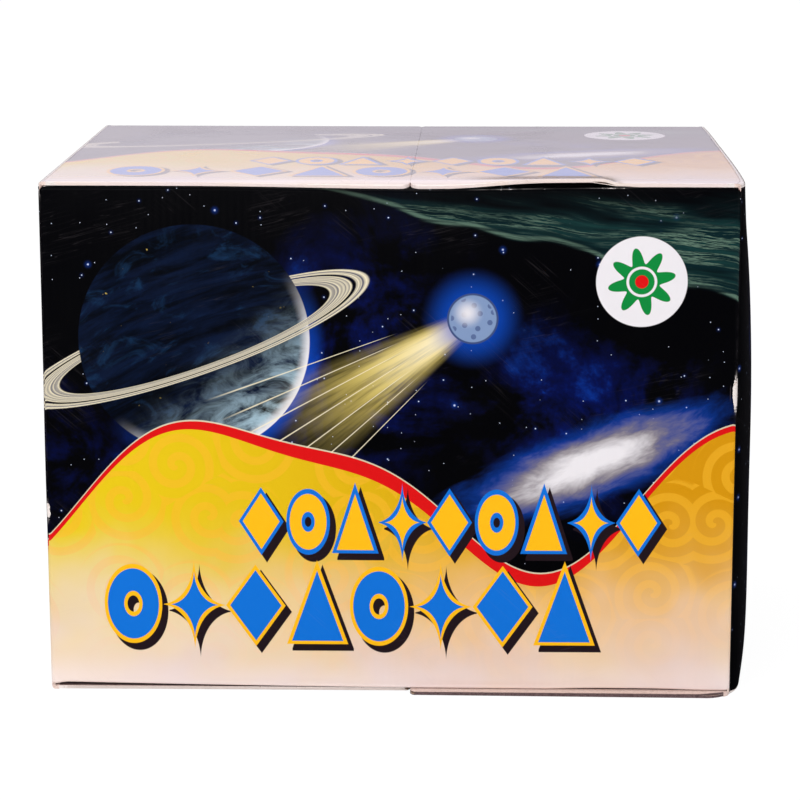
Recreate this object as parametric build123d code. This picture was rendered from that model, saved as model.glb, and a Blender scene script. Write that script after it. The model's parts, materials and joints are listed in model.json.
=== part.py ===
from build123d import *
import os
from math import cos, radians, sin, sqrt

# Printed corrugated carton: a four-walled sleeve, closed at each end by two outer flaps
# over two inner flaps. Goods have pressed its walls out, so each one swells.
# +X runs to the right along the front, +Y from the front to the back, +Z up.
# The origin is the middle of the base, on the floor. Sizes are in millimetres.

# ---- Sleeve, crease to crease -------------------------------------------------------
WIDTH = 300.0            # along the front
DEPTH = 217.0            # from the front to the back
HEIGHT = 226.0           # from the floor to the top of the outer flaps
BOARD = 1.6              # single-wall board: liner, flutes, liner
UPRIGHT_INSIDE_R = 0.6   # inside radius of the four upright creases
UPRIGHT_SPLIT = 0.1      # between two walls, at their shared upright crease

# ---- Swell of the walls: how far the middle stands out of the flat wall --------------
SIDE_CROWN = 12.5
FRONT_CROWN = 3.0
BACK_CROWN = 6.0
SWELL_MIDDLE = 0.45      # share of the height at which a wall stands out most
SWELL_POWER = 3.2        # how squarely it falls away above and below that
SECTIONS = (0.0, 0.15, SWELL_MIDDLE, 0.82, 1.0)     # shares at which its cut is drawn

# ---- Flaps --------------------------------------------------------------------------
LAYER_GAP = 0.3          # air between flaps that lie on each other
FOLD_SPLIT = 0.16        # between a wall's end and its flap, at the fold
SEAM_X = 9.0             # where the two outer flaps meet, right of the middle
SEAM_GAP = 0.8           # between their free ends
OUTER_INSET = 0.6        # outer flap's long edges, inside the front and back walls
OUTER_TAPER = 1.2        # how much each long edge runs in by the free end
OUTER_CORNER_R = 4.0
INNER_LENGTH = 94.0      # from the fold to the free end
INNER_SIDE_GAP = 0.9     # between an inner flap's root and the side walls
INNER_TAPER = 6.0
INNER_CORNER_R = 14.0
LIP = 6.5                # how far the right bottom flap has slid to the front
LIP_RUN = 11.0           # length beside the fold in which it does so

# ---- Glued lap, inside the back wall beside the left crease ---------------------------
LAP_WIDTH = 32.0
LAP_END_GAP = 9.0        # from the back wall's upper and lower fold
LAP_END_TAPER = 12.0
GLUE = 0.1

UPRIGHT_R = UPRIGHT_INSIDE_R + BOARD
STEP = BOARD + LAYER_GAP         # an inner fold lies this far inside an outer one


def swell_at(share):
    """Share of the crown at a share of the wall's height: 0 at both folds."""
    reach = SWELL_MIDDLE if share < SWELL_MIDDLE else 1 - SWELL_MIDDLE
    return 1 - abs((share - SWELL_MIDDLE) / reach) ** SWELL_POWER


def bowed(u, run, face, crown):
    """Distance of a bowed wall's outside at u: an arc through both creases."""
    radius = (run ** 2 + crown ** 2) / (2 * crown)
    return face + crown - radius + sqrt(radius ** 2 - u ** 2)


def wall_section(half, face, crown, z):
    """Wall's cut at height z: bowed board that turns half-way into both creases."""
    run = half - UPRIGHT_R
    middle = face - UPRIGHT_R
    turn = 45.0 - 28.65 * UPRIGHT_SPLIT / UPRIGHT_R

    def on_crease(side, radius, angle):
        along = run + radius * sin(radians(angle))
        return (side * along, middle + radius * cos(radians(angle)))

    def crease(side, radius):
        return [on_crease(side, radius, angle) for angle in (turn, turn / 2, 0)]

    outer_left = crease(-1, UPRIGHT_R)
    outer_right = crease(1, UPRIGHT_R)
    inner_left = crease(-1, UPRIGHT_INSIDE_R)
    inner_right = crease(1, UPRIGHT_INSIDE_R)
    with BuildSketch(Plane.XY.offset(z)) as section:
        with BuildLine():
            ThreePointArc(*outer_left)
            ThreePointArc(outer_left[2], (0, face + crown), outer_right[2])
            ThreePointArc(*reversed(outer_right))
            Line(outer_right[0], inner_right[0])
            ThreePointArc(*inner_right)
            ThreePointArc(inner_right[2], (0, face + crown - BOARD), inner_left[2])
            ThreePointArc(*reversed(inner_left))
            Line(inner_left[0], outer_left[0])
        make_face()
    return section.sketch


def fold_profile(length, flap):
    """Side view of a fold: s from the fold into the carton, z from its outside.

    The fold's outside is a quarter circle about the board's inside corner, and the
    wall and the flap meet half-way round it.
    """
    half_split = 28.65 * FOLD_SPLIT / BOARD
    ends = (90.0, 135.0 - half_split) if flap else (180.0, 135.0 + half_split)

    def on_fold(angle):
        return (BOARD + BOARD * cos(radians(angle)), -BOARD + BOARD * sin(radians(angle)))

    start = on_fold(ends[0])
    middle = on_fold((ends[0] + ends[1]) / 2)
    finish = on_fold(ends[1])
    root = (BOARD + FOLD_SPLIT, -BOARD) if flap else (BOARD, -BOARD - FOLD_SPLIT)
    far = [(length, -BOARD), (length, 0)] if flap else [(BOARD, -length), (0, -length)]
    with BuildSketch(Plane.XZ) as profile:
        with BuildLine():
            ThreePointArc(start, middle, finish)
            Polyline(finish, root, *far, start)
        make_face()
    return profile.sketch


def wall(half, face, crown, low, high):
    """Upright wall that faces +Y, with a fold along its top and along its bottom."""
    first = low + BOARD + FOLD_SPLIT
    last = high - BOARD - FOLD_SPLIT
    sections = []
    for share in SECTIONS:
        z = first + (last - first) * share
        sections.append(wall_section(half, face, max(crown * swell_at(share), 0.02), z))
    body = loft(sections)
    flat = wall_section(half, face, 0.02, 0)
    for end, z in ((1, last), (-1, first)):
        rim = extrude(Pos(0, 0, z) * flat, end * (BOARD + FOLD_SPLIT))
        end_view = extrude(fold_profile(BOARD + 2 * FOLD_SPLIT, False), half, both=True)
        turned = Rotation(0, 0, -90) * (end_view if end > 0 else Rotation(180, 0, 0) * end_view)
        level = high if end > 0 else low
        body += rim & (Pos(0, face, level) * turned)
    return body


def flap(length, half, taper, corner_r, slide=0.0):
    """Closed flap: fold along Y at the origin, free end towards +X, outside up."""
    board = extrude(fold_profile(length, True), half + slide, both=True)
    near = LIP_RUN if slide else BOARD
    with BuildSketch() as outline:
        with BuildLine():
            Polyline(
                (0, -half),
                (near, -half - slide),
                (length, -half - slide + taper),
                (length, half - slide - taper),
                (near, half - slide),
                (0, half),
                close=True,
            )
        make_face()
        free_end = outline.vertices().group_by(Axis.X)[-1]
        fillet(free_end, corner_r)
    return board & extrude(outline.sketch, BOARD * 2, both=True)


def lap_section(z, width):
    """Glued lap's cut at height z, following the back wall's inside."""
    run = WIDTH / 2 - UPRIGHT_R
    first = (STEP + BOARD + FOLD_SPLIT)
    share = (z - first) / (HEIGHT - 2 * first)
    crown = max(BACK_CROWN * swell_at(share), 0.02)
    us = (-run, -run + width / 2, -run + width)
    outer = [(u, bowed(u, run, DEPTH / 2 - BOARD - GLUE, crown)) for u in us]
    inner = [(u, v - BOARD) for u, v in outer]
    with BuildSketch(Plane.XY.offset(z)) as section:
        with BuildLine():
            ThreePointArc(*outer)
            Line(outer[2], inner[2])
            ThreePointArc(*reversed(inner))
            Line(inner[0], outer[0])
        make_face()
    return section.sketch


def glue_lap():
    """Lap along the left crease, its ends cut back at a slant."""
    low = STEP + BOARD + LAP_END_GAP
    high = HEIGHT - low
    shares = (0.0, 0.25, 0.5, 0.75, 1.0)
    body = loft([lap_section(low + (high - low) * share, LAP_WIDTH) for share in shares])
    for level, end in ((low, -1), (high, 1)):
        corner = (-WIDTH / 2 + LAP_WIDTH + BOARD, level - end * LAP_END_TAPER)
        with BuildSketch(Plane.XZ) as slant:
            with BuildLine():
                Polyline(
                    corner,
                    (corner[0], level + end * BOARD),
                    (-WIDTH / 2 - BOARD, level + end * BOARD),
                    close=True,
                )
            make_face()
        body -= Pos(0, DEPTH / 2, 0) * extrude(slant.sketch, DEPTH / 2, both=True)
    return body


# ---- Walls: name, turn about Z, half length, face, crown, fold level -------------------
WALLS = (
    ("front_wall", 180, WIDTH / 2, DEPTH / 2, FRONT_CROWN, STEP),
    ("back_wall", 0, WIDTH / 2, DEPTH / 2, BACK_CROWN, STEP),
    ("left_wall", 90, DEPTH / 2, WIDTH / 2, SIDE_CROWN, 0.0),
    ("right_wall", -90, DEPTH / 2, WIDTH / 2, SIDE_CROWN, 0.0),
)

LEFT_LENGTH = WIDTH / 2 + SEAM_X - SEAM_GAP / 2
RIGHT_LENGTH = WIDTH / 2 - SEAM_X - SEAM_GAP / 2
OUTER_HALF = DEPTH / 2 - OUTER_INSET
INNER_HALF = WIDTH / 2 - BOARD - INNER_SIDE_GAP

# ---- Flaps: name, turn about Z, fold's distance, length, half width, taper, corner, slide
OUTER = (
    ("left", 0, WIDTH / 2, LEFT_LENGTH, OUTER_HALF, OUTER_TAPER, OUTER_CORNER_R),
    ("right", 180, WIDTH / 2, RIGHT_LENGTH, OUTER_HALF, OUTER_TAPER, OUTER_CORNER_R),
)
INNER = (
    ("front", 90, DEPTH / 2, INNER_LENGTH, INNER_HALF, INNER_TAPER, INNER_CORNER_R),
    ("back", -90, DEPTH / 2, INNER_LENGTH, INNER_HALF, INNER_TAPER, INNER_CORNER_R),
)

nodes = {}
for name, turn, half, face, crown, level in WALLS:
    nodes[name] = Rotation(0, 0, turn) * wall(half, face, crown, level, HEIGHT - level)
nodes["glue_lap"] = glue_lap()
for kind, rows, inside in (("outer", OUTER, 0.0), ("inner", INNER, STEP)):
    for side, turn, away, length, half, taper, corner_r in rows:
        for end in ("top", "bottom"):
            # Only the right bottom flap has slid; seen from its outside, that is to +Y.
            slide = LIP if (side, end) == ("right", "bottom") else 0.0
            shape = flap(length, half, taper, corner_r, slide)
            if end == "bottom":
                shape = Rotation(180, 0, 0) * shape
            level = HEIGHT - inside if end == "top" else inside
            place = Rotation(0, 0, turn) * Pos(-away, 0, 0)
            nodes[f"{end}_{kind}_flap_{side}"] = Pos(0, 0, level) * place * shape

os.makedirs("parts", exist_ok=True)
for name, shape in nodes.items():
    shape.label = name
    export_step(shape, f"parts/{name}.step")
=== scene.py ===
"""Printed corrugated carton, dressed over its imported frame. Lengths are in metres."""

from __future__ import annotations

import json
import logging
import math
from collections.abc import Callable
from dataclasses import dataclass, replace
from enum import Enum

import bpy
import numpy as np
from mathutils import Matrix, Vector

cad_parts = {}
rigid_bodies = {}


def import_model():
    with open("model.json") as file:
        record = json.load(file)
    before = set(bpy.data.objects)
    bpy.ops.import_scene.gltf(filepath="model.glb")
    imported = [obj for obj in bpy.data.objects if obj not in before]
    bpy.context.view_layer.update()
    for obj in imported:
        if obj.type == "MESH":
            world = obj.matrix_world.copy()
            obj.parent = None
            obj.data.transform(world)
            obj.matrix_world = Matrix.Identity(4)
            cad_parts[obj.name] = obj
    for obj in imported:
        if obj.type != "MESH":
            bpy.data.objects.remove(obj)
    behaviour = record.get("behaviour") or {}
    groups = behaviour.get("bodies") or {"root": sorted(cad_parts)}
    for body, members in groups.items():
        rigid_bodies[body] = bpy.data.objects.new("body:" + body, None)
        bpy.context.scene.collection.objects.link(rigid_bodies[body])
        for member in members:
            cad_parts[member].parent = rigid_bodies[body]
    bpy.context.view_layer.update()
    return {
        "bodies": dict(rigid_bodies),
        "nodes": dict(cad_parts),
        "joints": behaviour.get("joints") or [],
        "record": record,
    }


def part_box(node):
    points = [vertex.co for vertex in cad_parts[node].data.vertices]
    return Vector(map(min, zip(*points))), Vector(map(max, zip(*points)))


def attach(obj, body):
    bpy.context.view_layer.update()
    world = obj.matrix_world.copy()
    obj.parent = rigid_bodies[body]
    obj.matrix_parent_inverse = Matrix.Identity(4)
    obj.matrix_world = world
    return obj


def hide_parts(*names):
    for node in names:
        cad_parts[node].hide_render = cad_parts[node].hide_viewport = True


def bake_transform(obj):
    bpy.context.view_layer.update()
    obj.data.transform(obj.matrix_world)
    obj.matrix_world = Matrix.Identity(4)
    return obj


LOG = logging.getLogger("carton")
MM = 0.001
TURN = 2.0 * math.pi

# ---- Sizes that the frame doesn't give ------------------------------------------------
CREASE_RADIUS = 2.2 * MM       # outside radius of the upright creases
CREASE_STEPS = 6               # columns round half an upright crease
BAND_REACH = 3.4 * MM          # how far a fold's band runs over the wall and the flap
BEAD_RADIUS = 0.25 * MM        # inside of a fold
SWELL_MIDDLE = 0.43            # share of the height at which a wall stands out most
SWELL_BELOW = 12.0             # power by which it falls away below that
SWELL_ABOVE = 5.0              # power by which it falls away above that
LINER = 0.28 * MM              # paper on each side of the flutes
MEDIUM = 0.20 * MM             # paper of the flutes
FLUTE_PITCH = 3.2 * MM
FLUTE_STEPS = 8                # columns to each flute
FLUTE_INSET = 0.9 * MM         # how far inside a pressed edge the flutes end
LIP = 6.5 * MM                 # how far the right bottom flap has slid to the front
LIP_RUN = 11.0 * MM            # length beside the fold in which it does so
SEAM_SHUT = 0.38 * MM          # how far each outer flap's frayed end reaches over its cut
SUNK = 1.6 * MM                # how far the front's upper fold has sunk, beside the seam
SUNK_AT = 9.0 * MM             # where along the front it has
SUNK_REACH = 56.0 * MM
SPRUNG = 1.9 * MM              # how far the front's lower fold has sprung up
EDGE_REACH = 9.0 * MM          # how far into a flap its edge's own movement and wear run

# ---- Size of the printed picture, in mm -----------------------------------------------
SHEET_HALF = 150.0             # half its width
SHEET_HIGH = 226.0


def linear(red: float, green: float, blue: float) -> tuple[float, float, float, float]:
    """Turn a colour as the eye sees it, 0 to 255, into the renderer's linear values.

    Args:
        red: Red, 0 to 255.
        green: Green, 0 to 255.
        blue: Blue, 0 to 255.

    Returns:
        Red, green, blue and an alpha of 1, each 0 to 1.
    """
    shown = np.array([red, green, blue]) / 255.0
    low = shown / 12.92
    high = ((shown + 0.055) / 1.055) ** 2.4
    return (*np.where(shown <= 0.04045, low, high).tolist(), 1.0)


# ---- Shader arithmetic ----------------------------------------------------------------
def operator(operation: str, after: bool = False) -> Callable[[Value, Value | float], Value]:
    """Make one of Value's operators.

    Args:
        operation: The Math node's operation.
        after: This value comes after the other one.

    Returns:
        The method.
    """
    def joined(this: Value, other: Value | float) -> Value:
        """Join both by the operation, in their order."""
        pair = (other, this) if after else (this, other)
        return this.canvas.math(operation, *pair)

    return joined


class Value:
    """A number that varies over a surface: a socket that does arithmetic by Math nodes."""

    __add__ = operator("ADD")
    __radd__ = operator("ADD", after=True)
    __sub__ = operator("SUBTRACT")
    __rsub__ = operator("SUBTRACT", after=True)
    __mul__ = operator("MULTIPLY")
    __truediv__ = operator("DIVIDE")
    __pow__ = operator("POWER")

    def __init__(self, canvas: Canvas, socket: bpy.types.NodeSocket) -> None:
        """Keep the node tree's canvas and the socket that gives the number."""
        self.canvas = canvas
        self.socket = socket

    def __abs__(self) -> Value:
        """Size without its sign."""
        return self.canvas.math("ABSOLUTE", self)

    def __neg__(self) -> Value:
        """The same size with the other sign."""
        return self * -1.0


class Canvas:
    """A node tree that patterns are built in."""

    def __init__(self, tree: bpy.types.NodeTree) -> None:
        """Keep the tree."""
        self.tree = tree

    def node(self, kind: str, **settings: object) -> bpy.types.Node:
        """Add a node.

        Args:
            kind: Blender's name of the node type.
            **settings: Properties to set on it.

        Returns:
            The node.
        """
        made = self.tree.nodes.new(kind)
        for name, value in settings.items():
            setattr(made, name, value)
        return made

    def feed(self, target: bpy.types.NodeSocket, value: object) -> None:
        """Link a value or socket to an input, or write a plain number or colour there.

        Args:
            target: The input socket.
            value: A Value, a socket, a number or a tuple.
        """
        if isinstance(value, Value):
            value = value.socket
        if isinstance(value, bpy.types.NodeSocket):
            self.tree.links.new(value, target)
        else:
            target.default_value = value

    def fed(self, kind: str, *inputs: object, **settings: object) -> bpy.types.Node:
        """Add a node and feed its inputs, in their order.

        Args:
            kind: Blender's name of the node type.
            *inputs: Values, sockets or numbers.
            **settings: Properties to set on it.

        Returns:
            The node.
        """
        made = self.node(kind, **settings)
        for target, value in zip(made.inputs, inputs):
            self.feed(target, value)
        return made

    def math(self, operation: str, *inputs: object) -> Value:
        """Result of a Math node's operation on one to three values or numbers."""
        return Value(self, self.fed("ShaderNodeMath", *inputs, operation=operation).outputs[0])

    def sine(self, angle: Value) -> Value:
        """Sine of an angle in radians."""
        return self.math("SINE", angle)

    def equal(self, one: object, other: float) -> Value:
        """Mask that is 1 where a whole number is this one."""
        return self.math("COMPARE", one, other, 0.25)

    def least(self, one: object, other: object) -> Value:
        """Smaller of two values."""
        return self.math("MINIMUM", one, other)

    def most(self, one: object, other: object) -> Value:
        """Larger of two values."""
        return self.math("MAXIMUM", one, other)

    def length(self, across: Value, up: Value) -> Value:
        """Distance from the origin of a point in the plane."""
        return self.math("SQRT", across * across + up * up)

    def turned(self, x: Value, y: Value, degrees: float) -> tuple[Value, Value]:
        """A place in the plane on axes that are turned by an angle."""
        c, s = math.cos(math.radians(degrees)), math.sin(math.radians(degrees))
        return x * c + y * s, y * c - x * s

    def ramp(self, value: object, low: float, high: float, smooth: bool = True) -> Value:
        """Mask that goes from 0 at low to 1 at high, either of which may be the larger.

        Args:
            value: What is compared.
            low: Where the mask is 0.
            high: Where the mask is 1.
            smooth: Ease in and out.

        Returns:
            The mask, 0 to 1.
        """
        kind = "SMOOTHSTEP" if smooth else "LINEAR"
        made = self.fed("ShaderNodeMapRange", value, low, high, 0.0, 1.0,
                        interpolation_type=kind, clamp=True)
        return Value(self, made.outputs[0])

    def vector(self, across: object, up: object, out: object = 0.0) -> bpy.types.NodeSocket:
        """Join two or three values into a vector."""
        return self.fed("ShaderNodeCombineXYZ", across, up, out).outputs[0]

    def parts(self, vector: object) -> tuple[Value, Value, Value]:
        """Split a vector into its three values."""
        made = self.fed("ShaderNodeSeparateXYZ", vector)
        return tuple(Value(self, made.outputs[i]) for i in range(3))

    def noise(self, place: object, scale: float, detail: float = 3.0,
              rough: float = 0.55, bend: float = 0.0) -> Value:
        """Smooth noise about 0.5.

        Args:
            place: Vector to read it at.
            scale: Cells to each unit of the vector.
            detail: Octaves.
            rough: How strong each further octave is.
            bend: How far the noise is bent by itself.

        Returns:
            The noise, 0 to 1.
        """
        made = self.node("ShaderNodeTexNoise")
        for name, value in (("Vector", place), ("Scale", scale), ("Detail", detail),
                            ("Roughness", rough), ("Distortion", bend)):
            self.feed(made.inputs[name], value)
        return Value(self, made.outputs["Fac"])

    def cells(self, place: object, pitch: float, spread: float = 1.0) -> tuple:
        """Scattered points in the plane.

        Args:
            place: Vector to read them at.
            pitch: Units of the vector from one point to the next.
            spread: How far the points stray from a square lattice.

        Returns:
            Distance to the nearest point, a random number for it, and its place.
        """
        made = self.node("ShaderNodeTexVoronoi", voronoi_dimensions="2D")
        for name, value in (("Vector", place), ("Scale", 1.0 / pitch), ("Randomness", spread)):
            self.feed(made.inputs[name], value)
        chance = self.parts(made.outputs["Color"])[0]
        return Value(self, made.outputs["Distance"]) * pitch, chance, made.outputs["Position"]

    def mix(self, below: object, above: object, mask: object) -> bpy.types.NodeSocket:
        """Lay one colour over another.

        Args:
            below: Colour where the mask is 0.
            above: Colour where the mask is 1.
            mask: Value or number, 0 to 1.

        Returns:
            The mixed colour.
        """
        made = self.node("ShaderNodeMix", data_type="RGBA")
        for place, value in ((0, mask), (6, below), (7, above)):
            self.feed(made.inputs[place], value)
        return made.outputs[2]

    def layers(self, colour: object, *coats: tuple[object, object]) -> object:
        """Lay colours over one another.

        Args:
            colour: The lowest.
            *coats: Each further colour and its mask, from below upwards.

        Returns:
            The mixed colour.
        """
        for above, mask in coats:
            colour = self.mix(colour, above, mask)
        return colour


class PatternGroup:
    """A node group with named inputs and outputs, built once and placed in materials."""

    def __init__(self, name: str, inputs: dict[str, str], outputs: dict[str, str]) -> None:
        """Make the empty group.

        Args:
            name: The group's name.
            inputs: Input names and their socket types, Float, Vector or Color.
            outputs: Output names and their socket types.
        """
        self.tree = bpy.data.node_groups.new(name, "ShaderNodeTree")
        for way, sockets in (("INPUT", inputs), ("OUTPUT", outputs)):
            for label, kind in sockets.items():
                self.tree.interface.new_socket(
                    name=label, in_out=way, socket_type=f"NodeSocket{kind}")
        self.canvas = Canvas(self.tree)
        self.source = self.tree.nodes.new("NodeGroupInput")
        self.sink = self.tree.nodes.new("NodeGroupOutput")

    def given(self, name: str) -> Value:
        """Value that comes in under a name."""
        return Value(self.canvas, self.source.outputs[name])

    def give(self, name: str, value: object) -> None:
        """Send a value out under a name."""
        self.canvas.feed(self.sink.inputs[name], value)

    def place(self, canvas: Canvas, **values: object) -> tuple[Value, ...]:
        """Put the group in a material.

        Args:
            canvas: The material's canvas.
            **values: What each input gets, by its name.

        Returns:
            The group's outputs, in their order.
        """
        made = canvas.node("ShaderNodeGroup", node_tree=self.tree)
        for name, value in values.items():
            canvas.feed(made.inputs[name], value)
        return tuple(Value(canvas, output) for output in made.outputs)


# ---- Printed picture ------------------------------------------------------------------
@dataclass(frozen=True)
class Inks:
    """Colours of the printed sheet, linear."""

    night: tuple = linear(3, 3, 6)
    deep_blue: tuple = linear(2, 18, 92)
    bright_blue: tuple = linear(8, 74, 190)
    pale_blue: tuple = linear(150, 205, 238)
    star: tuple = linear(214, 226, 250)
    haze: tuple = linear(120, 112, 120)
    dark_teal: tuple = linear(8, 34, 38)
    teal: tuple = linear(23, 58, 56)
    pale_teal: tuple = linear(120, 150, 130)
    planet_dark: tuple = linear(2, 5, 14)
    planet_blue: tuple = linear(8, 22, 50)
    planet_swirl: tuple = linear(20, 52, 88)
    planet_lit: tuple = linear(168, 196, 210)
    planet_fleck: tuple = linear(196, 170, 84)
    ring_grey: tuple = linear(96, 96, 110)
    sun: tuple = linear(248, 222, 120)
    comet_rim: tuple = linear(60, 76, 120)
    comet_body: tuple = linear(124, 146, 184)
    comet_pit: tuple = linear(86, 104, 146)
    cream: tuple = linear(240, 228, 196)
    gold: tuple = linear(226, 194, 20)
    deep_gold: tuple = linear(208, 144, 10)
    pale_gold: tuple = linear(240, 178, 42)
    straw: tuple = linear(230, 204, 92)
    tan: tuple = linear(228, 174, 78)
    foot: tuple = linear(228, 207, 203)
    foot_warm: tuple = linear(234, 211, 188)
    foot_pale: tuple = linear(244, 228, 226)
    red: tuple = linear(214, 16, 18)
    shape_gold: tuple = linear(248, 184, 22)
    shape_blue: tuple = linear(14, 110, 210)
    shadow: tuple = linear(34, 22, 28)
    white: tuple = linear(229, 225, 229)
    green: tuple = linear(14, 132, 58)


INK = Inks()


@dataclass(frozen=True)
class OrnamentRow:
    """One row of outlined shapes with a dropped shadow, in mm on the sheet."""

    first: float
    middle: float
    pitch: float
    height: float
    count: int
    kinds: tuple[int, int, int, int]
    fill: tuple
    outline: tuple
    margin: float = 2.2                              # beside each shape
    outline_width: float = 1.6
    drop: tuple[float, float] = (2.4, 2.8)           # right and down, to the shadow
    star_power: float = 0.56                         # how hollow a star's sides are

    def distance(self, c: Canvas, x: Value, y: Value) -> Value:
        """Distance to the nearest edge of the row's shape at a place, below 0 inside.

        Kinds are 0 lozenge, 1 ring, 2 triangle and 3 star of four points.

        Args:
            c: Canvas to build in.
            x: Across, in mm.
            y: Up from the row's middle, in mm.

        Returns:
            The distance, in mm.
        """
        index = c.math("FLOOR", (x - self.first) / self.pitch)
        kept = c.least(c.most(index, 0.0), float(self.count - 1))
        across = abs(x - self.first - (kept + 0.5) * self.pitch)
        half, tall = self.pitch * 0.5 - self.margin, self.height / 2
        up = abs(y)
        away = c.length(across, y * (half / tall))
        root = (across / half + 0.002) ** self.star_power + (up / tall + 0.002) ** self.star_power
        slope = half * 2 / self.height
        forms = (
            (across / half + up / tall - 1.0) * (half * tall / math.hypot(half, tall)),
            c.most(away - half, half * 0.36 - away),
            c.most((across + (y - tall) * slope * 0.5) * 0.88, -y - tall),
            (root - 1.0) * half * 0.75,
        )
        turn = c.math("MODULO", kept, 4.0)
        one, two, three, four = (
            forms[kind] * c.equal(turn, float(place)) for place, kind in enumerate(self.kinds))
        return one + two + three + four

    def paint(self, c: Canvas, x: Value, y: Value, below: object) -> object:
        """Paint the row: a dropped shadow, an outline and a fill.

        Args:
            c: Canvas to build in.
            x: Across, in mm.
            y: Up, in mm.
            below: Colour under the row.

        Returns:
            The colour with the row.
        """
        level = y - self.middle
        shade = self.distance(c, x - self.drop[0], level + self.drop[1])
        shape = self.distance(c, x, level)
        edge = self.outline_width
        return c.layers(below,
                        (INK.shadow, c.ramp(shade, edge + 0.3, edge)),
                        (self.outline, c.ramp(shape, edge, edge - 0.3)),
                        (self.fill, c.ramp(shape, 0.15, -0.15)))


@dataclass(frozen=True)
class SpacePicture:
    """Night sky over a golden wave, with two rows of ornament. Its units are mm.

    Across runs from -150 to 150 and up from 0 to 226 on the sheet.
    """

    planet_at: tuple[float, float] = (-84.0, 158.0)
    planet_radius: float = 50.0
    comet_at: tuple[float, float] = (36.0, 168.0)
    comet_tilt: float = 33.0
    galaxy_at: tuple[float, float] = (86.0, 104.0)
    galaxy_tilt: float = 21.0
    disc_at: tuple[float, float] = (108.0, 184.0)
    disc_radius: float = 19.5
    # Sizes of star: space between them, radius, share that isn't shown, strength of halo.
    star_sizes: tuple = (
        (6.0, 0.26, 0.84, 0.0), (13.0, 0.40, 0.74, 0.10), (31.0, 0.62, 0.55, 0.30))
    spiral_pitch: float = 33.0
    spiral_arm: float = 8.2
    rows: tuple[OrnamentRow, ...] = (
        OrnamentRow(-66.0, 78.0, 20.5, 25.0, 9, (0, 1, 2, 3), INK.shape_gold, INK.shape_blue),
        OrnamentRow(-126.0, 40.0, 27.0, 32.0, 8, (1, 3, 0, 2), INK.shape_blue, INK.shape_gold),
    )

    def stars(self, c: Canvas, place: object, below: object) -> object:
        """Scatter stars of three sizes, each shown by chance, the large ones with a halo.

        Args:
            c: Canvas to build in.
            place: Vector of the place, in mm.
            below: Colour under the stars.

        Returns:
            The colour with them.
        """
        colour = below
        for pitch, size, rarity, halo in self.star_sizes:
            distance, chance, _ = c.cells(place, pitch)
            shown = c.ramp(chance, rarity, rarity + 0.02)
            spot = c.ramp(distance, size, size * 0.35)
            colour = c.mix(colour, INK.star, spot * shown * (0.5 + chance * 0.5))
            if halo:
                glow = c.ramp(distance, size * 4.5, 0.0)
                colour = c.mix(colour, INK.bright_blue, glow * glow * shown * halo)
        return colour

    def clouds(self, c: Canvas, place: object, reach: Value, below: object) -> object:
        """Paint blue gas: deep, bright and pale levels of one noise, within a mask.

        Args:
            c: Canvas to build in.
            place: Vector of the place, in mm.
            reach: The mask.
            below: Colour under the gas.

        Returns:
            The colour with it.
        """
        cloud = c.noise(place, 0.021, 6.0, 0.62, 0.7)
        fine = c.noise(place, 0.13, 3.0, 0.7)
        level = cloud + (fine - 0.5) * 0.22
        return c.layers(below,
                        (INK.deep_blue, c.ramp(level, 0.44, 0.70) * reach),
                        (INK.bright_blue, c.ramp(level, 0.59, 0.78) * reach * 0.75),
                        (INK.pale_blue, c.ramp(level, 0.69, 0.86) * reach * 0.8))

    def ribbons(self, c: Canvas, x: Value, y: Value, below: object) -> object:
        """Paint brushed teal ribbons in the upper right corner.

        Strands are the ridges of noise drawn out along a shallow slant; a pale strand
        marks the ribbons' lower edge.

        Args:
            c: Canvas to build in.
            x: Across, in mm.
            y: Up, in mm.
            below: Colour under the ribbons.

        Returns:
            The colour with them.
        """
        along, over = c.turned(x, y - SHEET_HIGH, -7.0)
        sway = c.noise(c.vector(along, 0.0), 0.02, 1.0) * 22.0
        depth = -over + sway - 12.0
        floor = c.ramp(x, -70.0, 150.0, smooth=False) * 31.0 - 1.0
        inside = (c.ramp(floor - depth, -1.0, 2.0) * c.ramp(x, -62.0, 0.0)
                  * c.ramp(y, 225.0, 204.0))
        bent = over + c.noise(c.vector(along * 0.3, over), 0.05, 2.0) * 9.0
        strands = c.noise(c.vector(along * 0.05, bent), 0.32, 5.0, 0.72)
        wide = c.noise(c.vector(along * 0.10, bent), 0.10, 3.0, 0.6)
        ridge = c.ramp(abs(strands - 0.5), 0.040, 0.0)
        rim = c.ramp(abs(floor - depth - 1.2), 1.5, 0.2) * c.ramp(strands, 0.3, 0.6)
        return c.layers(
            below,
            (INK.dark_teal, inside * c.ramp(wide, 0.30, 0.55)),
            (INK.teal, inside * c.ramp(strands, 0.42, 0.70) * c.ramp(wide, 0.36, 0.62)),
            (INK.pale_teal, inside * ridge * c.ramp(wide, 0.46, 0.66) * 0.65),
            (INK.pale_teal, rim * c.ramp(x, -50.0, 30.0) * 0.5))

    def galaxy(self, c: Canvas, x: Value, y: Value, below: object) -> object:
        """Paint a slanting pale lens, low on the right, ragged at its edge.

        Args:
            c: Canvas to build in.
            x: Across, in mm.
            y: Up, in mm.
            below: Colour under it.

        Returns:
            The colour with it.
        """
        along, over = c.turned(x - self.galaxy_at[0], y - self.galaxy_at[1], self.galaxy_tilt)
        fine = c.noise(c.vector(along * 0.4, over), 0.11, 4.0, 0.66, 0.4)
        lens = c.length(along / 50.0, over / 12.5) + (fine - 0.5) * 0.9
        return c.layers(below,
                        (INK.bright_blue, c.ramp(lens, 1.55, 0.7) * 0.65),
                        (INK.haze, c.ramp(lens, 1.12, 0.62)),
                        (INK.white, c.ramp(lens, 0.82, 0.22)))

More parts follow.
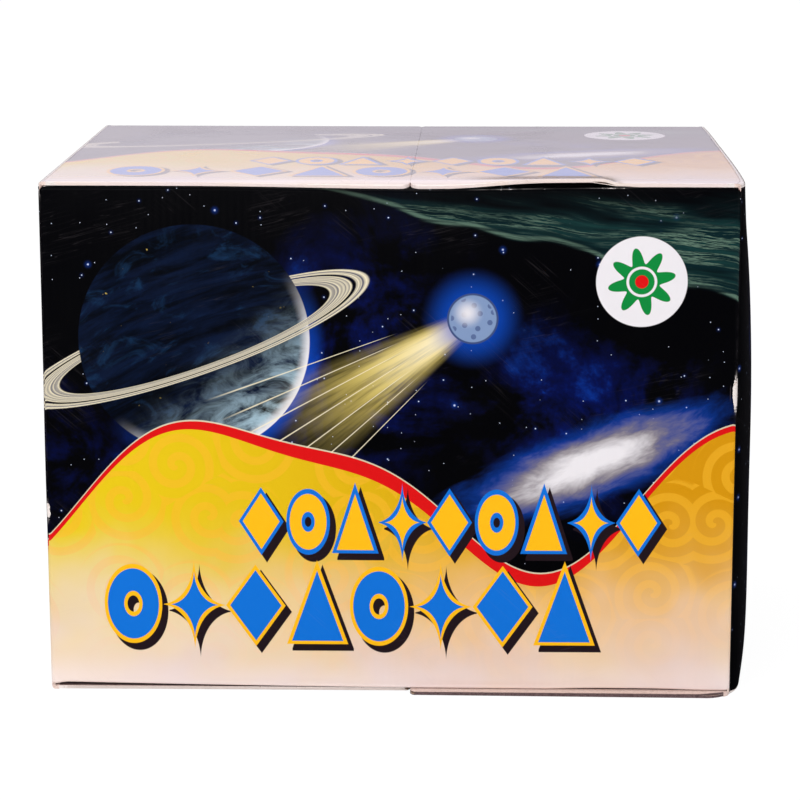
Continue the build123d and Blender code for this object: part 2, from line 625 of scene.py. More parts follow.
    def sky(self, c: Canvas, x: Value, y: Value) -> object:
        """Paint the night sky with its gas, stars, galaxy and ribbons.

        Args:
            c: Canvas to build in.
            x: Across, in mm.
            y: Up, in mm.

        Returns:
            The colour.
        """
        place = c.vector(x, y)
        middle = c.ramp(c.length(x + 12.0, (y - 150.0) * 0.9), 72.0, 6.0)
        right = c.ramp(c.length(x - 84.0, (y - 124.0) * 1.3), 74.0, 6.0)
        left = c.ramp(c.length(x + 140.0, y - 108.0), 52.0, 4.0) * 0.6
        colour = self.clouds(c, place, c.most(c.most(middle, right), left), INK.night)
        colour = self.stars(c, place, colour)
        colour = self.galaxy(c, x, y, colour)
        return self.ribbons(c, x, y, colour)

    def planet(self, c: Canvas, x: Value, y: Value, below: object) -> object:
        """Paint a dark banded planet with a lit limb and a thin slanting ring.

        Args:
            c: Canvas to build in.
            x: Across, in mm.
            y: Up, in mm.
            below: Colour under it.

        Returns:
            The colour with it.
        """
        radius = self.planet_radius
        px, py = x - self.planet_at[0], y - self.planet_at[1]
        away = c.length(px, py)
        tilt_x, tilt_y = c.turned(px, py, 20.0)
        arc = tilt_y + (tilt_x * tilt_x) * (0.10 / radius)
        bands = c.noise(c.vector(tilt_x * 0.14, arc), 0.13, 5.0, 0.66, 0.35)
        swirl = c.noise(c.vector(tilt_x * 0.5, arc), 0.10, 5.0, 0.66, 0.9)
        flecks = c.noise(c.vector(px, py), 0.22, 2.0, 0.7)
        facing = (px * 0.66 - py * 0.75) / radius
        lit = c.ramp(facing, -0.05, 1.0)
        limb = c.ramp(away / radius, 0.90, 1.0) * c.ramp(facing, 0.05, 0.85)
        body = c.layers(
            INK.planet_dark,
            (INK.planet_blue, c.ramp(bands, 0.36, 0.66)),
            (INK.planet_swirl, c.ramp(swirl, 0.52, 0.72) * 0.65),
            (INK.planet_lit, lit * lit * c.ramp(swirl, 0.34, 0.66) * 0.9),
            (INK.planet_fleck, c.ramp(flecks, 0.71, 0.77) * c.ramp(facing, 0.6, -0.4) * 0.7),
            (INK.white, limb * 0.95))
        air = c.ramp(away / radius, 1.15, 0.98) * c.ramp(facing, 0.0, 1.0)
        # The ring is an ellipse of one to five, hidden where it runs behind the planet.
        ring = c.length(tilt_x, tilt_y * 5.2)
        band = (c.ramp(ring, radius * 1.24, radius * 1.26)
                * c.ramp(ring, radius * 1.62, radius * 1.60))
        gap = c.ramp(abs(ring - radius * 1.47), 0.5, 1.4)
        shown = c.most(c.ramp(tilt_y, 0.5, -0.5), c.ramp(away, radius - 0.2, radius + 0.2))
        grain = c.noise(c.vector(ring, 0.0), 0.6, 2.0)
        ice = c.mix(INK.ring_grey, INK.cream, c.ramp(grain, 0.35, 0.62))
        return c.layers(below,
                        (INK.bright_blue, air * 0.7),
                        (body, c.ramp(away, radius + 0.2, radius - 0.2)),
                        (ice, band * gap * shown * 0.9))

    def comet(self, c: Canvas, x: Value, y: Value, below: object) -> object:
        """Paint a comet whose pale tail widens down to the left, with thin rays.

        Args:
            c: Canvas to build in.
            x: Across, in mm.
            y: Up, in mm.
            below: Colour under it.

        Returns:
            The colour with it.
        """
        px, py = x - self.comet_at[0], y - self.comet_at[1]
        along, over = c.turned(-px, -py, self.comet_tilt)
        share = over / (5.2 + along * 0.23)
        aside = abs(share)
        streaks = c.noise(c.vector(share * 4.0, along * 0.015), 1.0, 3.0, 0.72)
        tail = c.ramp(aside, 1.0, 0.25) * c.ramp(along, -1.0, 8.0) * c.ramp(along, 104.0, 16.0)
        ray = c.ramp(abs(c.math("FRACT", share * 3.0 + 0.5) - 0.5), 0.045, 0.015)
        reach = (c.ramp(along, 30.0, 44.0) * c.ramp(along, 118.0, 100.0)
                 * c.ramp(aside, 1.25, 1.15))
        head = c.length(px, py)
        shade = c.length(px + 2.2, py - 2.6)
        pits, _, _ = c.cells(c.vector(px, py), 5.2, 0.7)
        return c.layers(
            below,
            (INK.sun, tail * c.ramp(streaks, 0.22, 0.60) * 0.92),
            (INK.cream, tail * c.ramp(along, 62.0, 4.0) * c.ramp(aside, 0.8, 0.1)),
            (INK.cream, ray * reach * 0.75),
            (INK.bright_blue, c.ramp(head, 23.0, 8.0) * 0.7),
            (INK.comet_rim, c.ramp(head, 11.2, 10.8)),
            (INK.comet_body, c.ramp(head, 10.4, 9.9)),
            (INK.comet_pit, c.ramp(head, 9.6, 9.0) * c.ramp(pits, 1.3, 1.0)),
            (INK.white, c.ramp(head, 10.4, 9.8) * c.ramp(shade, 7.5, 0.0) * 0.9))

    def wave_top(self, c: Canvas, x: Value) -> Value:
        """Height of the golden wave's upper edge: two sines, crest left of the middle."""
        turn = (x + 62.0) * (TURN / 242.0)
        return 94.0 + c.sine(turn + math.pi / 2) * 31.0 - c.sine(turn * 2.0 + 0.9) * 9.0

    def wave(self, c: Canvas, x: Value, y: Value, below: object) -> object:
        """Paint the golden wave, its spirals, its pale foot and its red edge.

        A spiral is the sine of the distance from its cell's point plus the angle round
        it, so that its arm winds outwards by one width each turn.

        Args:
            c: Canvas to build in.
            x: Across, in mm.
            y: Up, in mm.
            below: Colour under it.

        Returns:
            The colour with it.
        """
        depth = self.wave_top(c, x) - y
        place = c.vector(x, y)
        mottle = c.noise(place, 0.030, 2.0, 0.55) - 0.5
        gold = c.mix(INK.gold, INK.deep_gold, c.ramp(x, -140.0, 130.0))
        pale = c.mix(INK.straw, INK.tan, c.ramp(x, -140.0, 50.0))
        away, chance, centre = c.cells(place, self.spiral_pitch, 0.75)
        centre_x, centre_y, _ = c.parts(centre)
        way = c.ramp(chance, 0.49, 0.51) * 2.0 - 1.0
        angle = c.math("ARCTAN2", y - centre_y, (x - centre_x) * way)
        winding = c.sine(away * (TURN / self.spiral_arm) - angle)
        arms = c.ramp(winding, -0.05, 0.35) * c.ramp(away, 21.0, 19.0)
        low = y + c.sine(x * 0.017 + 0.6) * 7.0 + mottle * 34.0
        warm = c.ramp(c.noise(place, 0.018, 2.0, 0.6), 0.40, 0.62)
        foot = c.layers(INK.foot,
                        (INK.foot_warm, warm),
                        (INK.foot_pale, c.ramp(y, 19.0, 2.0) * 0.7))
        body = c.layers(gold,
                        (pale, c.ramp(y + mottle * 44.0, 90.0, 28.0)),
                        (INK.pale_gold, arms * 0.5),
                        (foot, c.ramp(low, 74.0, -2.0)))
        thick = 2.4 + c.sine((x + 60.0) * 0.022) * 1.1
        return c.layers(
            below,
            (body, c.ramp(depth, -0.15, 0.15)),
            (INK.red, c.ramp(abs(depth - thick), thick + 0.12, thick - 0.12)),
            (INK.cream, c.ramp(abs(depth + 0.3), 0.45, 0.2) * 0.7))

    def disc(self, c: Canvas, x: Value, y: Value, below: object) -> object:
        """Paint a white disc that holds a green rosette of eight petals.

        Args:
            c: Canvas to build in.
            x: Across, in mm.
            y: Up, in mm.
            below: Colour under it.

        Returns:
            The colour with it.
        """
        px, py = x - self.disc_at[0], y - self.disc_at[1]
        away = c.length(px, py)
        edge = self.disc_radius
        petal = 11.2 + c.sine(c.math("ARCTAN2", py, px) * 8.0) * 3.4
        return c.layers(below,
                        (INK.white, c.ramp(away, edge + 0.2, edge - 0.2)),
                        (INK.green, c.ramp(away - petal, 0.2, -0.2)),
                        (INK.white, c.ramp(abs(away - 6.0), 0.7, 0.4)),
                        (INK.red, c.ramp(away, 3.0, 2.7)))

    def group(self, name: str, whole: bool) -> PatternGroup:
        """Build the picture as one node group, from a place on the sheet to a colour.

        Args:
            name: The group's name.
            whole: Paint all of it, and not just the sky's gas and stars.

        Returns:
            The group.
        """
        made = PatternGroup(name, {"Place": "Vector"}, {"Color": "Color"})
        c = made.canvas
        across, up, _ = c.parts(made.given("Place"))
        x, y = across / MM, up / MM
        if whole:
            colour = self.sky(c, x, y)
            for paint in (self.planet, self.comet, self.wave, self.disc,
                          *(row.paint for row in self.rows)):
                colour = paint(c, x, y, colour)
        else:
            inside = c.ramp(abs(x), 96.0, 48.0) * c.ramp(abs(y - 120.0), 104.0, 40.0)
            colour = self.clouds(c, c.vector(x, y), inside * 0.8, INK.night)
            colour = self.stars(c, c.vector(x, y), colour)
        made.give("Color", colour)
        return made


# ---- Finishes -------------------------------------------------------------------------
class Sheet(Enum):
    """Where a printed sheet reads its picture."""

    FRONT = "front"
    BACK = "back"
    TOP = "top"
    LEFT = "left"
    RIGHT = "right"
    BASE = "base"


@dataclass(frozen=True)
class Papers:
    """Colours of the board's papers and marks, linear."""

    chip_pale: tuple = linear(236, 226, 222)
    chip_brown: tuple = linear(160, 122, 96)
    scuff: tuple = linear(150, 140, 146)
    press: tuple = linear(70, 60, 66)
    base_pale: tuple = linear(226, 212, 206)
    base_grey: tuple = linear(206, 192, 186)
    base_cloud: tuple = linear(196, 176, 166)
    liner_pale: tuple = linear(236, 214, 206)
    liner_dark: tuple = linear(208, 184, 172)
    liner_fleck: tuple = linear(150, 120, 98)
    # painted shade in the slit under the front wall and on the slid flap's front edge
    painted_shade: tuple = linear(84, 62, 66)
    core_pale: tuple = linear(186, 158, 136)
    core_dark: tuple = linear(138, 108, 86)
    # the slid flap's cut edge: brown board, darkened with painted shade
    raw_shaded_pale: tuple = linear(112, 90, 92)
    raw_shaded_dark: tuple = linear(64, 44, 46)


PAPER = Papers()


@dataclass(frozen=True)
class Varnish:
    """Gloss over one printed face."""

    roughness: float
    specular: float
    coat: float
    unevenness: float = 0.5 * MM
    coat_roughness: float = 0.16


SATIN = Varnish(0.36, 0.05, 0.0, 0.4 * MM)
VARNISH = {
    Sheet.FRONT: SATIN,
    Sheet.BACK: SATIN,
    Sheet.TOP: Varnish(0.22, 0.5, 1.0, 0.22 * MM),
    Sheet.LEFT: SATIN,
    Sheet.RIGHT: Varnish(0.36, 0.20, 0.0),
    Sheet.BASE: Varnish(0.60, 0.3, 0.0),
}


class Patterns:
    """Node groups that the carton's finishes share."""

    def __init__(self) -> None:
        """Build the groups once."""
        picture = SpacePicture()
        self.picture = picture.group("printed_picture", True)
        self.night = picture.group("printed_night", False)
        self.wear = self._wear()
        self.fibre = self._fibre()
        self.washboard = self._washboard()
        self.scuffs = self._scuffs()

    @staticmethod
    def _wear() -> PatternGroup:
        """Masks of chipped print near a crease, of rubbed print, and of a pressed line.

        Returns:
            The group.
        """
        made = PatternGroup(
            "crease_wear",
            {"Place": "Vector", "Distance": "Float", "Wear": "Float"},
            {"Chips": "Float", "Rub": "Float", "Press": "Float"})
        c = made.canvas
        place, distance, wear = (made.given(name) for name in ("Place", "Distance", "Wear"))
        grit = c.noise(place, 1100.0, 2.0, 0.7)
        patch = c.noise(place, 85.0, 3.0, 0.66)
        reach = 0.5 * MM + wear * (2.4 * MM)
        near = c.ramp(distance / reach, 1.0, 0.35)
        level = near * (0.18 + wear * 0.75) + (patch - 0.5) * 0.60 + (grit - 0.5) * 0.45
        line = c.ramp(distance, 0.50 * MM, 0.20 * MM) * c.ramp(patch, 0.36, 0.50)
        chips = c.ramp(level, 0.50, 0.58) * c.ramp(near, 0.02, 0.2)
        beside = c.ramp(abs(distance - 2.5 * MM), 0.30 * MM, 0.08 * MM)
        made.give("Chips", c.most(chips, line * c.ramp(wear, 0.18, 0.90)))
        made.give("Rub", near * c.ramp(patch, 0.35, 0.7))
        made.give("Press", beside * c.ramp(wear, 0.6, 0.8) * c.ramp(patch, 0.34, 0.5))
        return made

    @staticmethod
    def _fibre() -> PatternGroup:
        """Short paper fibres and flecks as a value about 0.5.

        Returns:
            The group.
        """
        made = PatternGroup("paper_fibre", {"Place": "Vector", "Stretch": "Vector"},
                            {"Fleck": "Float", "Grain": "Float"})
        c = made.canvas
        stretched = c.fed("ShaderNodeVectorMath", made.given("Place"), made.given("Stretch"),
                          operation="MULTIPLY").outputs[0]
        made.give("Fleck", c.noise(stretched, 1.0, 3.0, 0.75, 1.2))
        made.give("Grain", c.noise(made.given("Place"), 260.0, 5.0, 0.65))
        return made

    @staticmethod
    def _washboard() -> PatternGroup:
        """Faint ridges where the flutes show through the liner, and slow unevenness.

        Returns:
            The group.
        """
        made = PatternGroup("flute_show_through", {"Along": "Float", "Place": "Vector"},
                            {"Height": "Float"})
        c = made.canvas
        ridges = c.sine(made.given("Along") * (TURN / FLUTE_PITCH))
        patch = c.noise(made.given("Place"), 18.0, 1.0)
        slow = c.noise(made.given("Place"), 30.0, 2.0, 0.5)
        made.give("Height", ridges * c.ramp(patch, 0.3, 0.75) * 0.035 + slow)
        return made

    @staticmethod
    def _scuffs() -> PatternGroup:
        """Fine scratches in two directions and cloudy handling marks.

        Returns:
            The group.
        """
        made = PatternGroup("handling_scuffs", {"Place": "Vector"},
                            {"Scratch": "Float", "Smear": "Float"})
        c = made.canvas
        x, y, z = c.parts(made.given("Place"))
        coarse = 240.0
        scratches = []
        for bend, scale in ((0.9, coarse), (-0.35, 330.0)):
            along = x * 0.06 + y * 0.05 + z * 0.04
            over = (y + z) * scale / coarse + x * bend
            line = c.noise(c.vector(along * coarse, over * coarse), 1.0, 2.0, 0.7)
            patch = c.noise(c.vector(x + y * 0.3, z + y + bend), 26.0, 1.0)
            scratches.append(c.ramp(abs(line - 0.5), 0.012, 0.002) * c.ramp(patch, 0.56, 0.66))
        made.give("Scratch", c.most(*scratches))
        made.give("Smear", c.noise(made.given("Place"), 20.0, 3.0, 0.65, 0.5))
        return made


class FinishBase:
    """A material with a Principled shader, ready to be fed."""

    def __init__(self, name: str) -> None:
        """Make the material, its canvas and its shader.

        Args:
            name: The material's name.
        """
        self.material = bpy.data.materials.new(name)
        self.material.use_nodes = True
        self.canvas = Canvas(self.material.node_tree)
        self.shader = self.material.node_tree.nodes["Principled BSDF"]
        self.place = self.canvas.node("ShaderNodeTexCoord").outputs["Object"]

    def put(self, name: str, value: object) -> None:
        """Feed the shader's input of this name."""
        self.canvas.feed(self.shader.inputs[name], value)

    def from_mesh(self, name: str) -> Value:
        """Value that the mesh holds under a name."""
        made = self.canvas.node("ShaderNodeAttribute", attribute_name=name)
        return Value(self.canvas, made.outputs["Fac"])

    def bump(self, height: object, depth: float) -> None:
        """Feed a height to the shader's normal.

        Args:
            height: Height, 0 to 1.
            depth: What 1 stands for, in metres.
        """
        made = self.canvas.node("ShaderNodeBump")
        for name, value in (("Strength", 1.0), ("Distance", depth), ("Height", height)):
            self.canvas.feed(made.inputs[name], value)
        self.put("Normal", made.outputs[0])


class PrintedLiner(FinishBase):
    """Varnished printed sheet on the outside of the board."""

    def __init__(self, sheet: Sheet, patterns: Patterns, depth: float) -> None:
        """Build the finish.

        Args:
            sheet: Which face of the carton it is for.
            patterns: The shared groups.
            depth: The carton's depth, in metres.
        """
        super().__init__(f"printed_{sheet.value}")
        c = self.canvas
        varnish = VARNISH[sheet]
        place = c.parts(self.place)
        chips, rub, press = patterns.wear.place(
            c, Place=self.place, Distance=self.from_mesh("edge_distance"),
            Wear=self.from_mesh("wear"))
        fleck, _ = patterns.fibre.place(c, Place=self.place, Stretch=(500.0, 500.0, 500.0))
        scratch, smear = patterns.scuffs.place(c, Place=self.place)
        bare = c.mix(PAPER.chip_pale, PAPER.chip_brown, c.ramp(fleck, 0.56, 0.74))
        self.put("Base Color", c.layers(self._ink(sheet, patterns, place, depth),
                                        (PAPER.scuff, scratch * 0.03 + rub * 0.03),
                                        (bare, chips),
                                        (PAPER.press, press * 0.55)))
        self.put("Roughness", varnish.roughness + c.ramp(smear, 0.42, 0.78) * 0.12
                 + rub * 0.18 + chips * 0.4)
        self.put("Specular IOR Level", varnish.specular)
        if varnish.coat:
            self.put("Coat Weight", (1.0 - press * 0.6) * varnish.coat)
            self.put("Coat Roughness", varnish.coat_roughness)
        along = place[0] if sheet in (Sheet.FRONT, Sheet.BACK) else place[1]
        ridges, = patterns.washboard.place(c, Along=along, Place=self.place)
        self.bump(ridges - chips * 0.18, varnish.unevenness)

    @staticmethod
    def _ink(sheet: Sheet, patterns: Patterns, place: tuple, depth: float) -> object:
        """Colour of the print before wear.

        Args:
            sheet: Which face.
            patterns: The shared groups.
            place: The three values of the place.
            depth: The carton's depth.

        Returns:
            The colour.
        """
        x, y, z = place
        c = x.canvas
        if sheet is Sheet.BASE:
            speck = c.noise(c.vector(x, y), 300.0, 5.0, 0.6)
            cloud = c.noise(c.vector(x, y), 14.0, 3.0)
            return c.layers(PAPER.base_pale,
                            (PAPER.base_grey, speck),
                            (PAPER.base_cloud, c.ramp(cloud, 0.5, 0.8) * 0.6))
        if sheet is Sheet.RIGHT:
            return patterns.night.place(c, Place=c.vector(y, z))[0]
        across, up = x, z
        if sheet is Sheet.TOP:
            up = (y + depth / 2) * (SHEET_HIGH * MM / depth)
        elif sheet is Sheet.LEFT:
            across = -SHEET_HALF * MM - depth / 2 - y
        else:
            # Past a fold the print bleeds on, over the inner flap.
            up = z + c.most(depth / 2 - abs(y), 0.0) * (c.ramp(z, 0.11, 0.12) * 2.0 - 1.0)
            across = -x if sheet is Sheet.BACK else x
        return patterns.picture.place(c, Place=c.vector(across, up))[0]


class PlainLiner(FinishBase):
    """Unprinted pale liner on the inside of the board."""

    def __init__(self, patterns: Patterns) -> None:
        """Build the finish.

        Args:
            patterns: The shared groups.
        """
        super().__init__("plain_liner")
        c = self.canvas
        fleck, grain = patterns.fibre.place(c, Place=self.place, Stretch=(700.0, 700.0, 180.0))
        # Wear above 1.2 marks painted shade, in the slit under the front wall and along the slid
        # flap's front edge.
        painted_shade = c.ramp(self.from_mesh("wear") + (fleck - 0.5) * 0.8, 1.3, 1.9)
        self.put("Base Color", c.layers(PAPER.liner_pale,
                                        (PAPER.liner_dark, c.ramp(fleck, 0.35, 0.8)),
                                        (PAPER.liner_fleck, c.ramp(fleck, 0.74, 0.82) * 0.6),
                                        (PAPER.painted_shade, painted_shade * 0.94)))
        self.put("Roughness", 0.78 + fleck * 0.15)
        self.bump(grain, 0.08 * MM)


class BoardCore(FinishBase):
    """Brown paper of the flutes, or the slid flap's cut edge, darkened with painted shade."""

    def __init__(self, name: str, pale: tuple, dark: tuple, patterns: Patterns) -> None:
        """Build the finish.

        Args:
            name: The material's name.
            pale: Its paler colour.
            dark: Its darker colour.
            patterns: The shared groups.
        """
        super().__init__(name)
        c = self.canvas
        fleck, grain = patterns.fibre.place(c, Place=self.place, Stretch=(900.0, 900.0, 900.0))
        self.put("Base Color", c.mix(pale, dark, c.ramp(fleck, 0.3, 0.75)))
        self.put("Roughness", 0.9)
        self.bump(grain, 0.10 * MM)


# ---- Meshes ---------------------------------------------------------------------------
class Slot(Enum):
    """Material slots that every board piece has, in their order."""

    OUTSIDE = 0
    INSIDE = 1
    CORE = 2
    WALL = 3
    # the slid flap's cut edge: brown board darkened with painted shade
    RAW = 4


def linked(name: str, data: bpy.types.ID) -> bpy.types.Object:
    """Put a mesh, lamp or camera in the scene.

    Args:
        name: The object's name.
        data: The mesh, lamp or camera.

    Returns:
        The object.
    """
    made = bpy.data.objects.new(name, data)
    bpy.context.collection.objects.link(made)
    return made


def left_of(away: np.ndarray, reach: float, power: float = 2.0) -> np.ndarray:
    """What is left of 1 at a distance: a power of the share of the reach still to go."""
    return np.clip(1.0 - away / reach, 0.0, 1.0) ** power


def spaced(points: np.ndarray) -> np.ndarray:
    """Share of the way along a row of points, by length.

    Args:
        points: The row, points by 3.

    Returns:
        The shares, from 0 to 1.
    """
    steps = np.linalg.norm(np.diff(points, axis=0), axis=1)
    run = np.concatenate([[0.0], np.cumsum(steps)])
    return run / run[-1]


class MeshParts:
    """Closed shells gathered into one mesh."""

    OUTER_FROM = 0.27      # the outer face fills the flat map above this
    INNER_TO = 0.21        # the inner face fills it below this
    MARGIN = 0.01          # round the map
    GUTTER = 0.015         # between a face and the border's strip
    SHARPEST = 50.0        # an edge that turns by more degrees than this isn't smoothed

    def __init__(self) -> None:
        """Start with nothing."""
        self.shells: list[tuple[np.ndarray, ...]] = []
        self.count = 0

    def add_shell(self, outer: np.ndarray, inner: np.ndarray, values: np.ndarray,
                  slots: tuple[Slot, Slot, Slot], wall_rows: int = 0) -> None:
        """Add the closed shell between two grids of the same shape.

        The outer grid, the inner grid turned over and a strip round their border make
        the shell. Its signed volume tells whether it is inside out, and then it is turned.

        Args:
            outer: Rows by columns by 3.
            inner: The same for the other side.
            values: Rows by columns by 2: distance to the nearest crease or edge, and wear.
            slots: Material slots of the outer grid, the inner grid and the border.
            wall_rows: How many rows of the outer grid's faces wear the wall's slot.
        """
        rows, columns = outer.shape[:2]
        index = np.arange(rows * columns).reshape(rows, columns)
        corners = [index[:-1, :-1], index[:-1, 1:], index[1:, 1:], index[1:, :-1]]
        outside = np.stack(corners, -1).reshape(-1, 4)
        border = np.concatenate([index[0, :], index[1:, -1], index[-1, -2::-1], index[-2::-1, 0]])
        far = border + index.size
        rim = np.stack([border[:-1], far[:-1], far[1:], border[1:]], -1)
        quads = np.concatenate([outside, outside[:, ::-1] + index.size, rim])
        points = np.concatenate([outer.reshape(-1, 3), inner.reshape(-1, 3)])
        maps = self.flat_map(outer, outside, len(border))
        a, b, d, e = (points[quads[:, i]] for i in range(4))
        volume = (np.cross(b - a, d - a) * a).sum() + (np.cross(d - a, e - a) * a).sum()
        if volume < 0:
            quads, maps = quads[:, ::-1], maps[:, ::-1]
        numbers = np.repeat([slot.value for slot in slots],
                            [len(outside), len(outside), len(rim)])
        numbers[:wall_rows * (columns - 1)] = Slot.WALL.value
        values = np.tile(values.reshape(-1, 2), (2, 1))
        self.shells.append((points, quads + self.count, numbers, values, maps))
        self.count += len(points)

    def flat_map(self, outer: np.ndarray, faces: np.ndarray, border: int) -> np.ndarray:
        """Lay a shell out flat: outer face above, inner face below, border between.

        Args:
            outer: The outer grid.
            faces: Its quads.
            border: How many points its border has.

        Returns:
            Map places of every quad's corners.
        """
        rows, columns = outer.shape[:2]
        first, last = self.MARGIN, 1.0 - self.MARGIN
        across = first + (last - first) * spaced(outer[rows // 2])
        up = spaced(outer[:, columns // 2])
        grid = np.stack(np.meshgrid(across, up), -1).reshape(-1, 2)
        upper, lower = grid.copy(), grid.copy()
        upper[:, 1] = self.OUTER_FROM + (last - self.OUTER_FROM) * upper[:, 1]
        lower[:, 1] = first + (self.INNER_TO - first) * lower[:, 1]
        step = np.linspace(first, last, border)
        near, far = (np.stack([step, np.full(border, height)], -1)
                     for height in (self.INNER_TO + self.GUTTER, self.OUTER_FROM - self.GUTTER))
        rim = np.stack([near[:-1], far[:-1], far[1:], near[1:]], 1)
        return np.concatenate([upper[faces], lower[faces[:, ::-1]], rim])

    def build(self, name: str, materials: tuple[bpy.types.Material, ...]) -> bpy.types.Object:
        """Make the object. A single shell keeps its flat map, named OFBake.

        Args:
            name: The piece's name.
            materials: Materials in the order of Slot.

        Returns:
            The object, at the origin.
        """
        points, quads, slots, values, maps = (
            np.concatenate(rows) for rows in zip(*self.shells))
        mesh = bpy.data.meshes.new(name)
        mesh.vertices.add(len(points))
        mesh.vertices.foreach_set("co", points.astype(np.float32).ravel())
        mesh.loops.add(quads.size)
        mesh.loops.foreach_set("vertex_index", quads.astype(np.int32).ravel())
        mesh.polygons.add(len(quads))
        mesh.polygons.foreach_set("loop_start", np.arange(0, quads.size, 4, dtype=np.int32))
        mesh.polygons.foreach_set("material_index", slots.astype(np.int32))
        mesh.update(calc_edges=True)
        mesh.polygons.foreach_set("use_smooth", np.ones(len(quads), dtype=bool))
        mesh.set_sharp_from_angle(angle=math.radians(self.SHARPEST))
        for column, label in enumerate(("edge_distance", "wear")):
            layer = mesh.attributes.new(label, "FLOAT", "POINT")
            layer.data.foreach_set("value", values[:, column].astype(np.float32))
        if len(self.shells) == 1:
            flat = mesh.uv_layers.new(name="OFBake")
            flat.uv.foreach_set("vector", maps.astype(np.float32).ravel())
        for material in materials:
            mesh.materials.append(material)
        LOG.info("%s: %d faces", name, len(quads))
        return linked(name, mesh)


@dataclass(frozen=True)
class CartonSizes:
    """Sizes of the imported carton, in metres."""

    width: float
    depth: float
    height: float
    board: float
    inner_step: float
    side_crown: float
    front_crown: float
    back_crown: float

    @classmethod
    def from_frame(cls, frame: dict) -> CartonSizes:
        """Read the sizes from the frame's joints and nodes.


        Returns:
            The sizes.
        """
        joints = {joint["name"]: joint for joint in frame["joints"]}
        outer = joints["top_outer_flap_left_fold"]["pos_m"]
        inner = joints["top_inner_flap_front_fold"]["pos_m"]
        low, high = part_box("top_outer_flap_left")
        board = high[2] - low[2]
        width = -2 * outer[0]
        depth = 2 * (board - inner[1])
        return cls(
            width=width, depth=depth, height=outer[2], board=board,
            inner_step=outer[2] - inner[2] - board,
            side_crown=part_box("right_wall")[1][0] - width / 2,
            front_crown=-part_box("front_wall")[0][1] - depth / 2,
            back_crown=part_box("back_wall")[1][1] - depth / 2,
        )


def swell(share: np.ndarray, above: float = SWELL_ABOVE) -> np.ndarray:
    """Share of a wall's crown at a share of its height: 0 at both folds.

    It is 1 less a power of the distance from the fullest height, measured in the
    distance from there to the fold. The power is greater below, where goods lie.

    Args:
        share: Share of the wall's height.
        above: Power above the fullest height.

    Returns:
        The share of the crown.
    """
    share = np.clip(share, 0.0, 1.0)
    lower = left_of(share, SWELL_MIDDLE, SWELL_BELOW)
    upper = np.clip((share - SWELL_MIDDLE) / (1.0 - SWELL_MIDDLE), 0.0, 1.0) ** above
    return 1.0 - lower - upper


def sunk(x: np.ndarray) -> np.ndarray:
    """How far the front's upper fold has sunk at x: one bell beside the seam."""
    return SUNK * np.exp(-((x - SUNK_AT) / SUNK_REACH) ** 2)


# Knocks, as shares of the half width, half depth and height, then reach and strength.
KNOCKS = (
    (1.0, -1.0, 0.60, 7.0 * MM, 0.9),
    (1.0, -1.0, 0.0, 9.0 * MM, 0.5),
    (1.0, -1.0, 1.0, 6.0 * MM, 0.3),
    (-1.0, -1.0, 1.0, 7.0 * MM, 0.5),
    (-1.0, -1.0, 0.0, 12.0 * MM, 0.6),
    (-1.0, -1.0, 0.36, 5.0 * MM, 0.7),
    (0.34, -1.0, 0.99, 24.0 * MM, 0.42),
    (0.62, -1.0, 0.99, 13.0 * MM, 0.42),
    (1.0, 1.0, 1.0, 12.0 * MM, 0.7),
    (-1.0, 1.0, 1.0, 12.0 * MM, 0.7),
    (1.0, 1.0, 0.0, 12.0 * MM, 0.7),
    (-1.0, 1.0, 0.0, 12.0 * MM, 0.7),
    (1.0, 1.0, 0.45, 7.0 * MM, 0.8),
    (-1.0, 1.0, 0.70, 6.0 * MM, 0.8),
)
MOST_WEAR = 1.2                # of knocks; more than this marks painted shade


def wear_at(points: np.ndarray, sizes: CartonSizes, base: float) -> np.ndarray:
    """Wear at each point: a base, and a bell about every knock.

    Args:
        points: Any shape, with a last axis of 3.
        sizes: The carton's.
        base: Wear away from the knocks.

    Returns:
        The wear, from 0 to MOST_WEAR.
    """
    table = np.array(KNOCKS)
    places = table[:, :3] * (sizes.width / 2, sizes.depth / 2, sizes.height)
    away = np.linalg.norm(points[..., None, :] - places, axis=-1)
    bells = np.exp(-(away / table[:, 3]) ** 2) * table[:, 4]
    return np.clip(base + bells.sum(axis=-1), 0.0, MOST_WEAR)


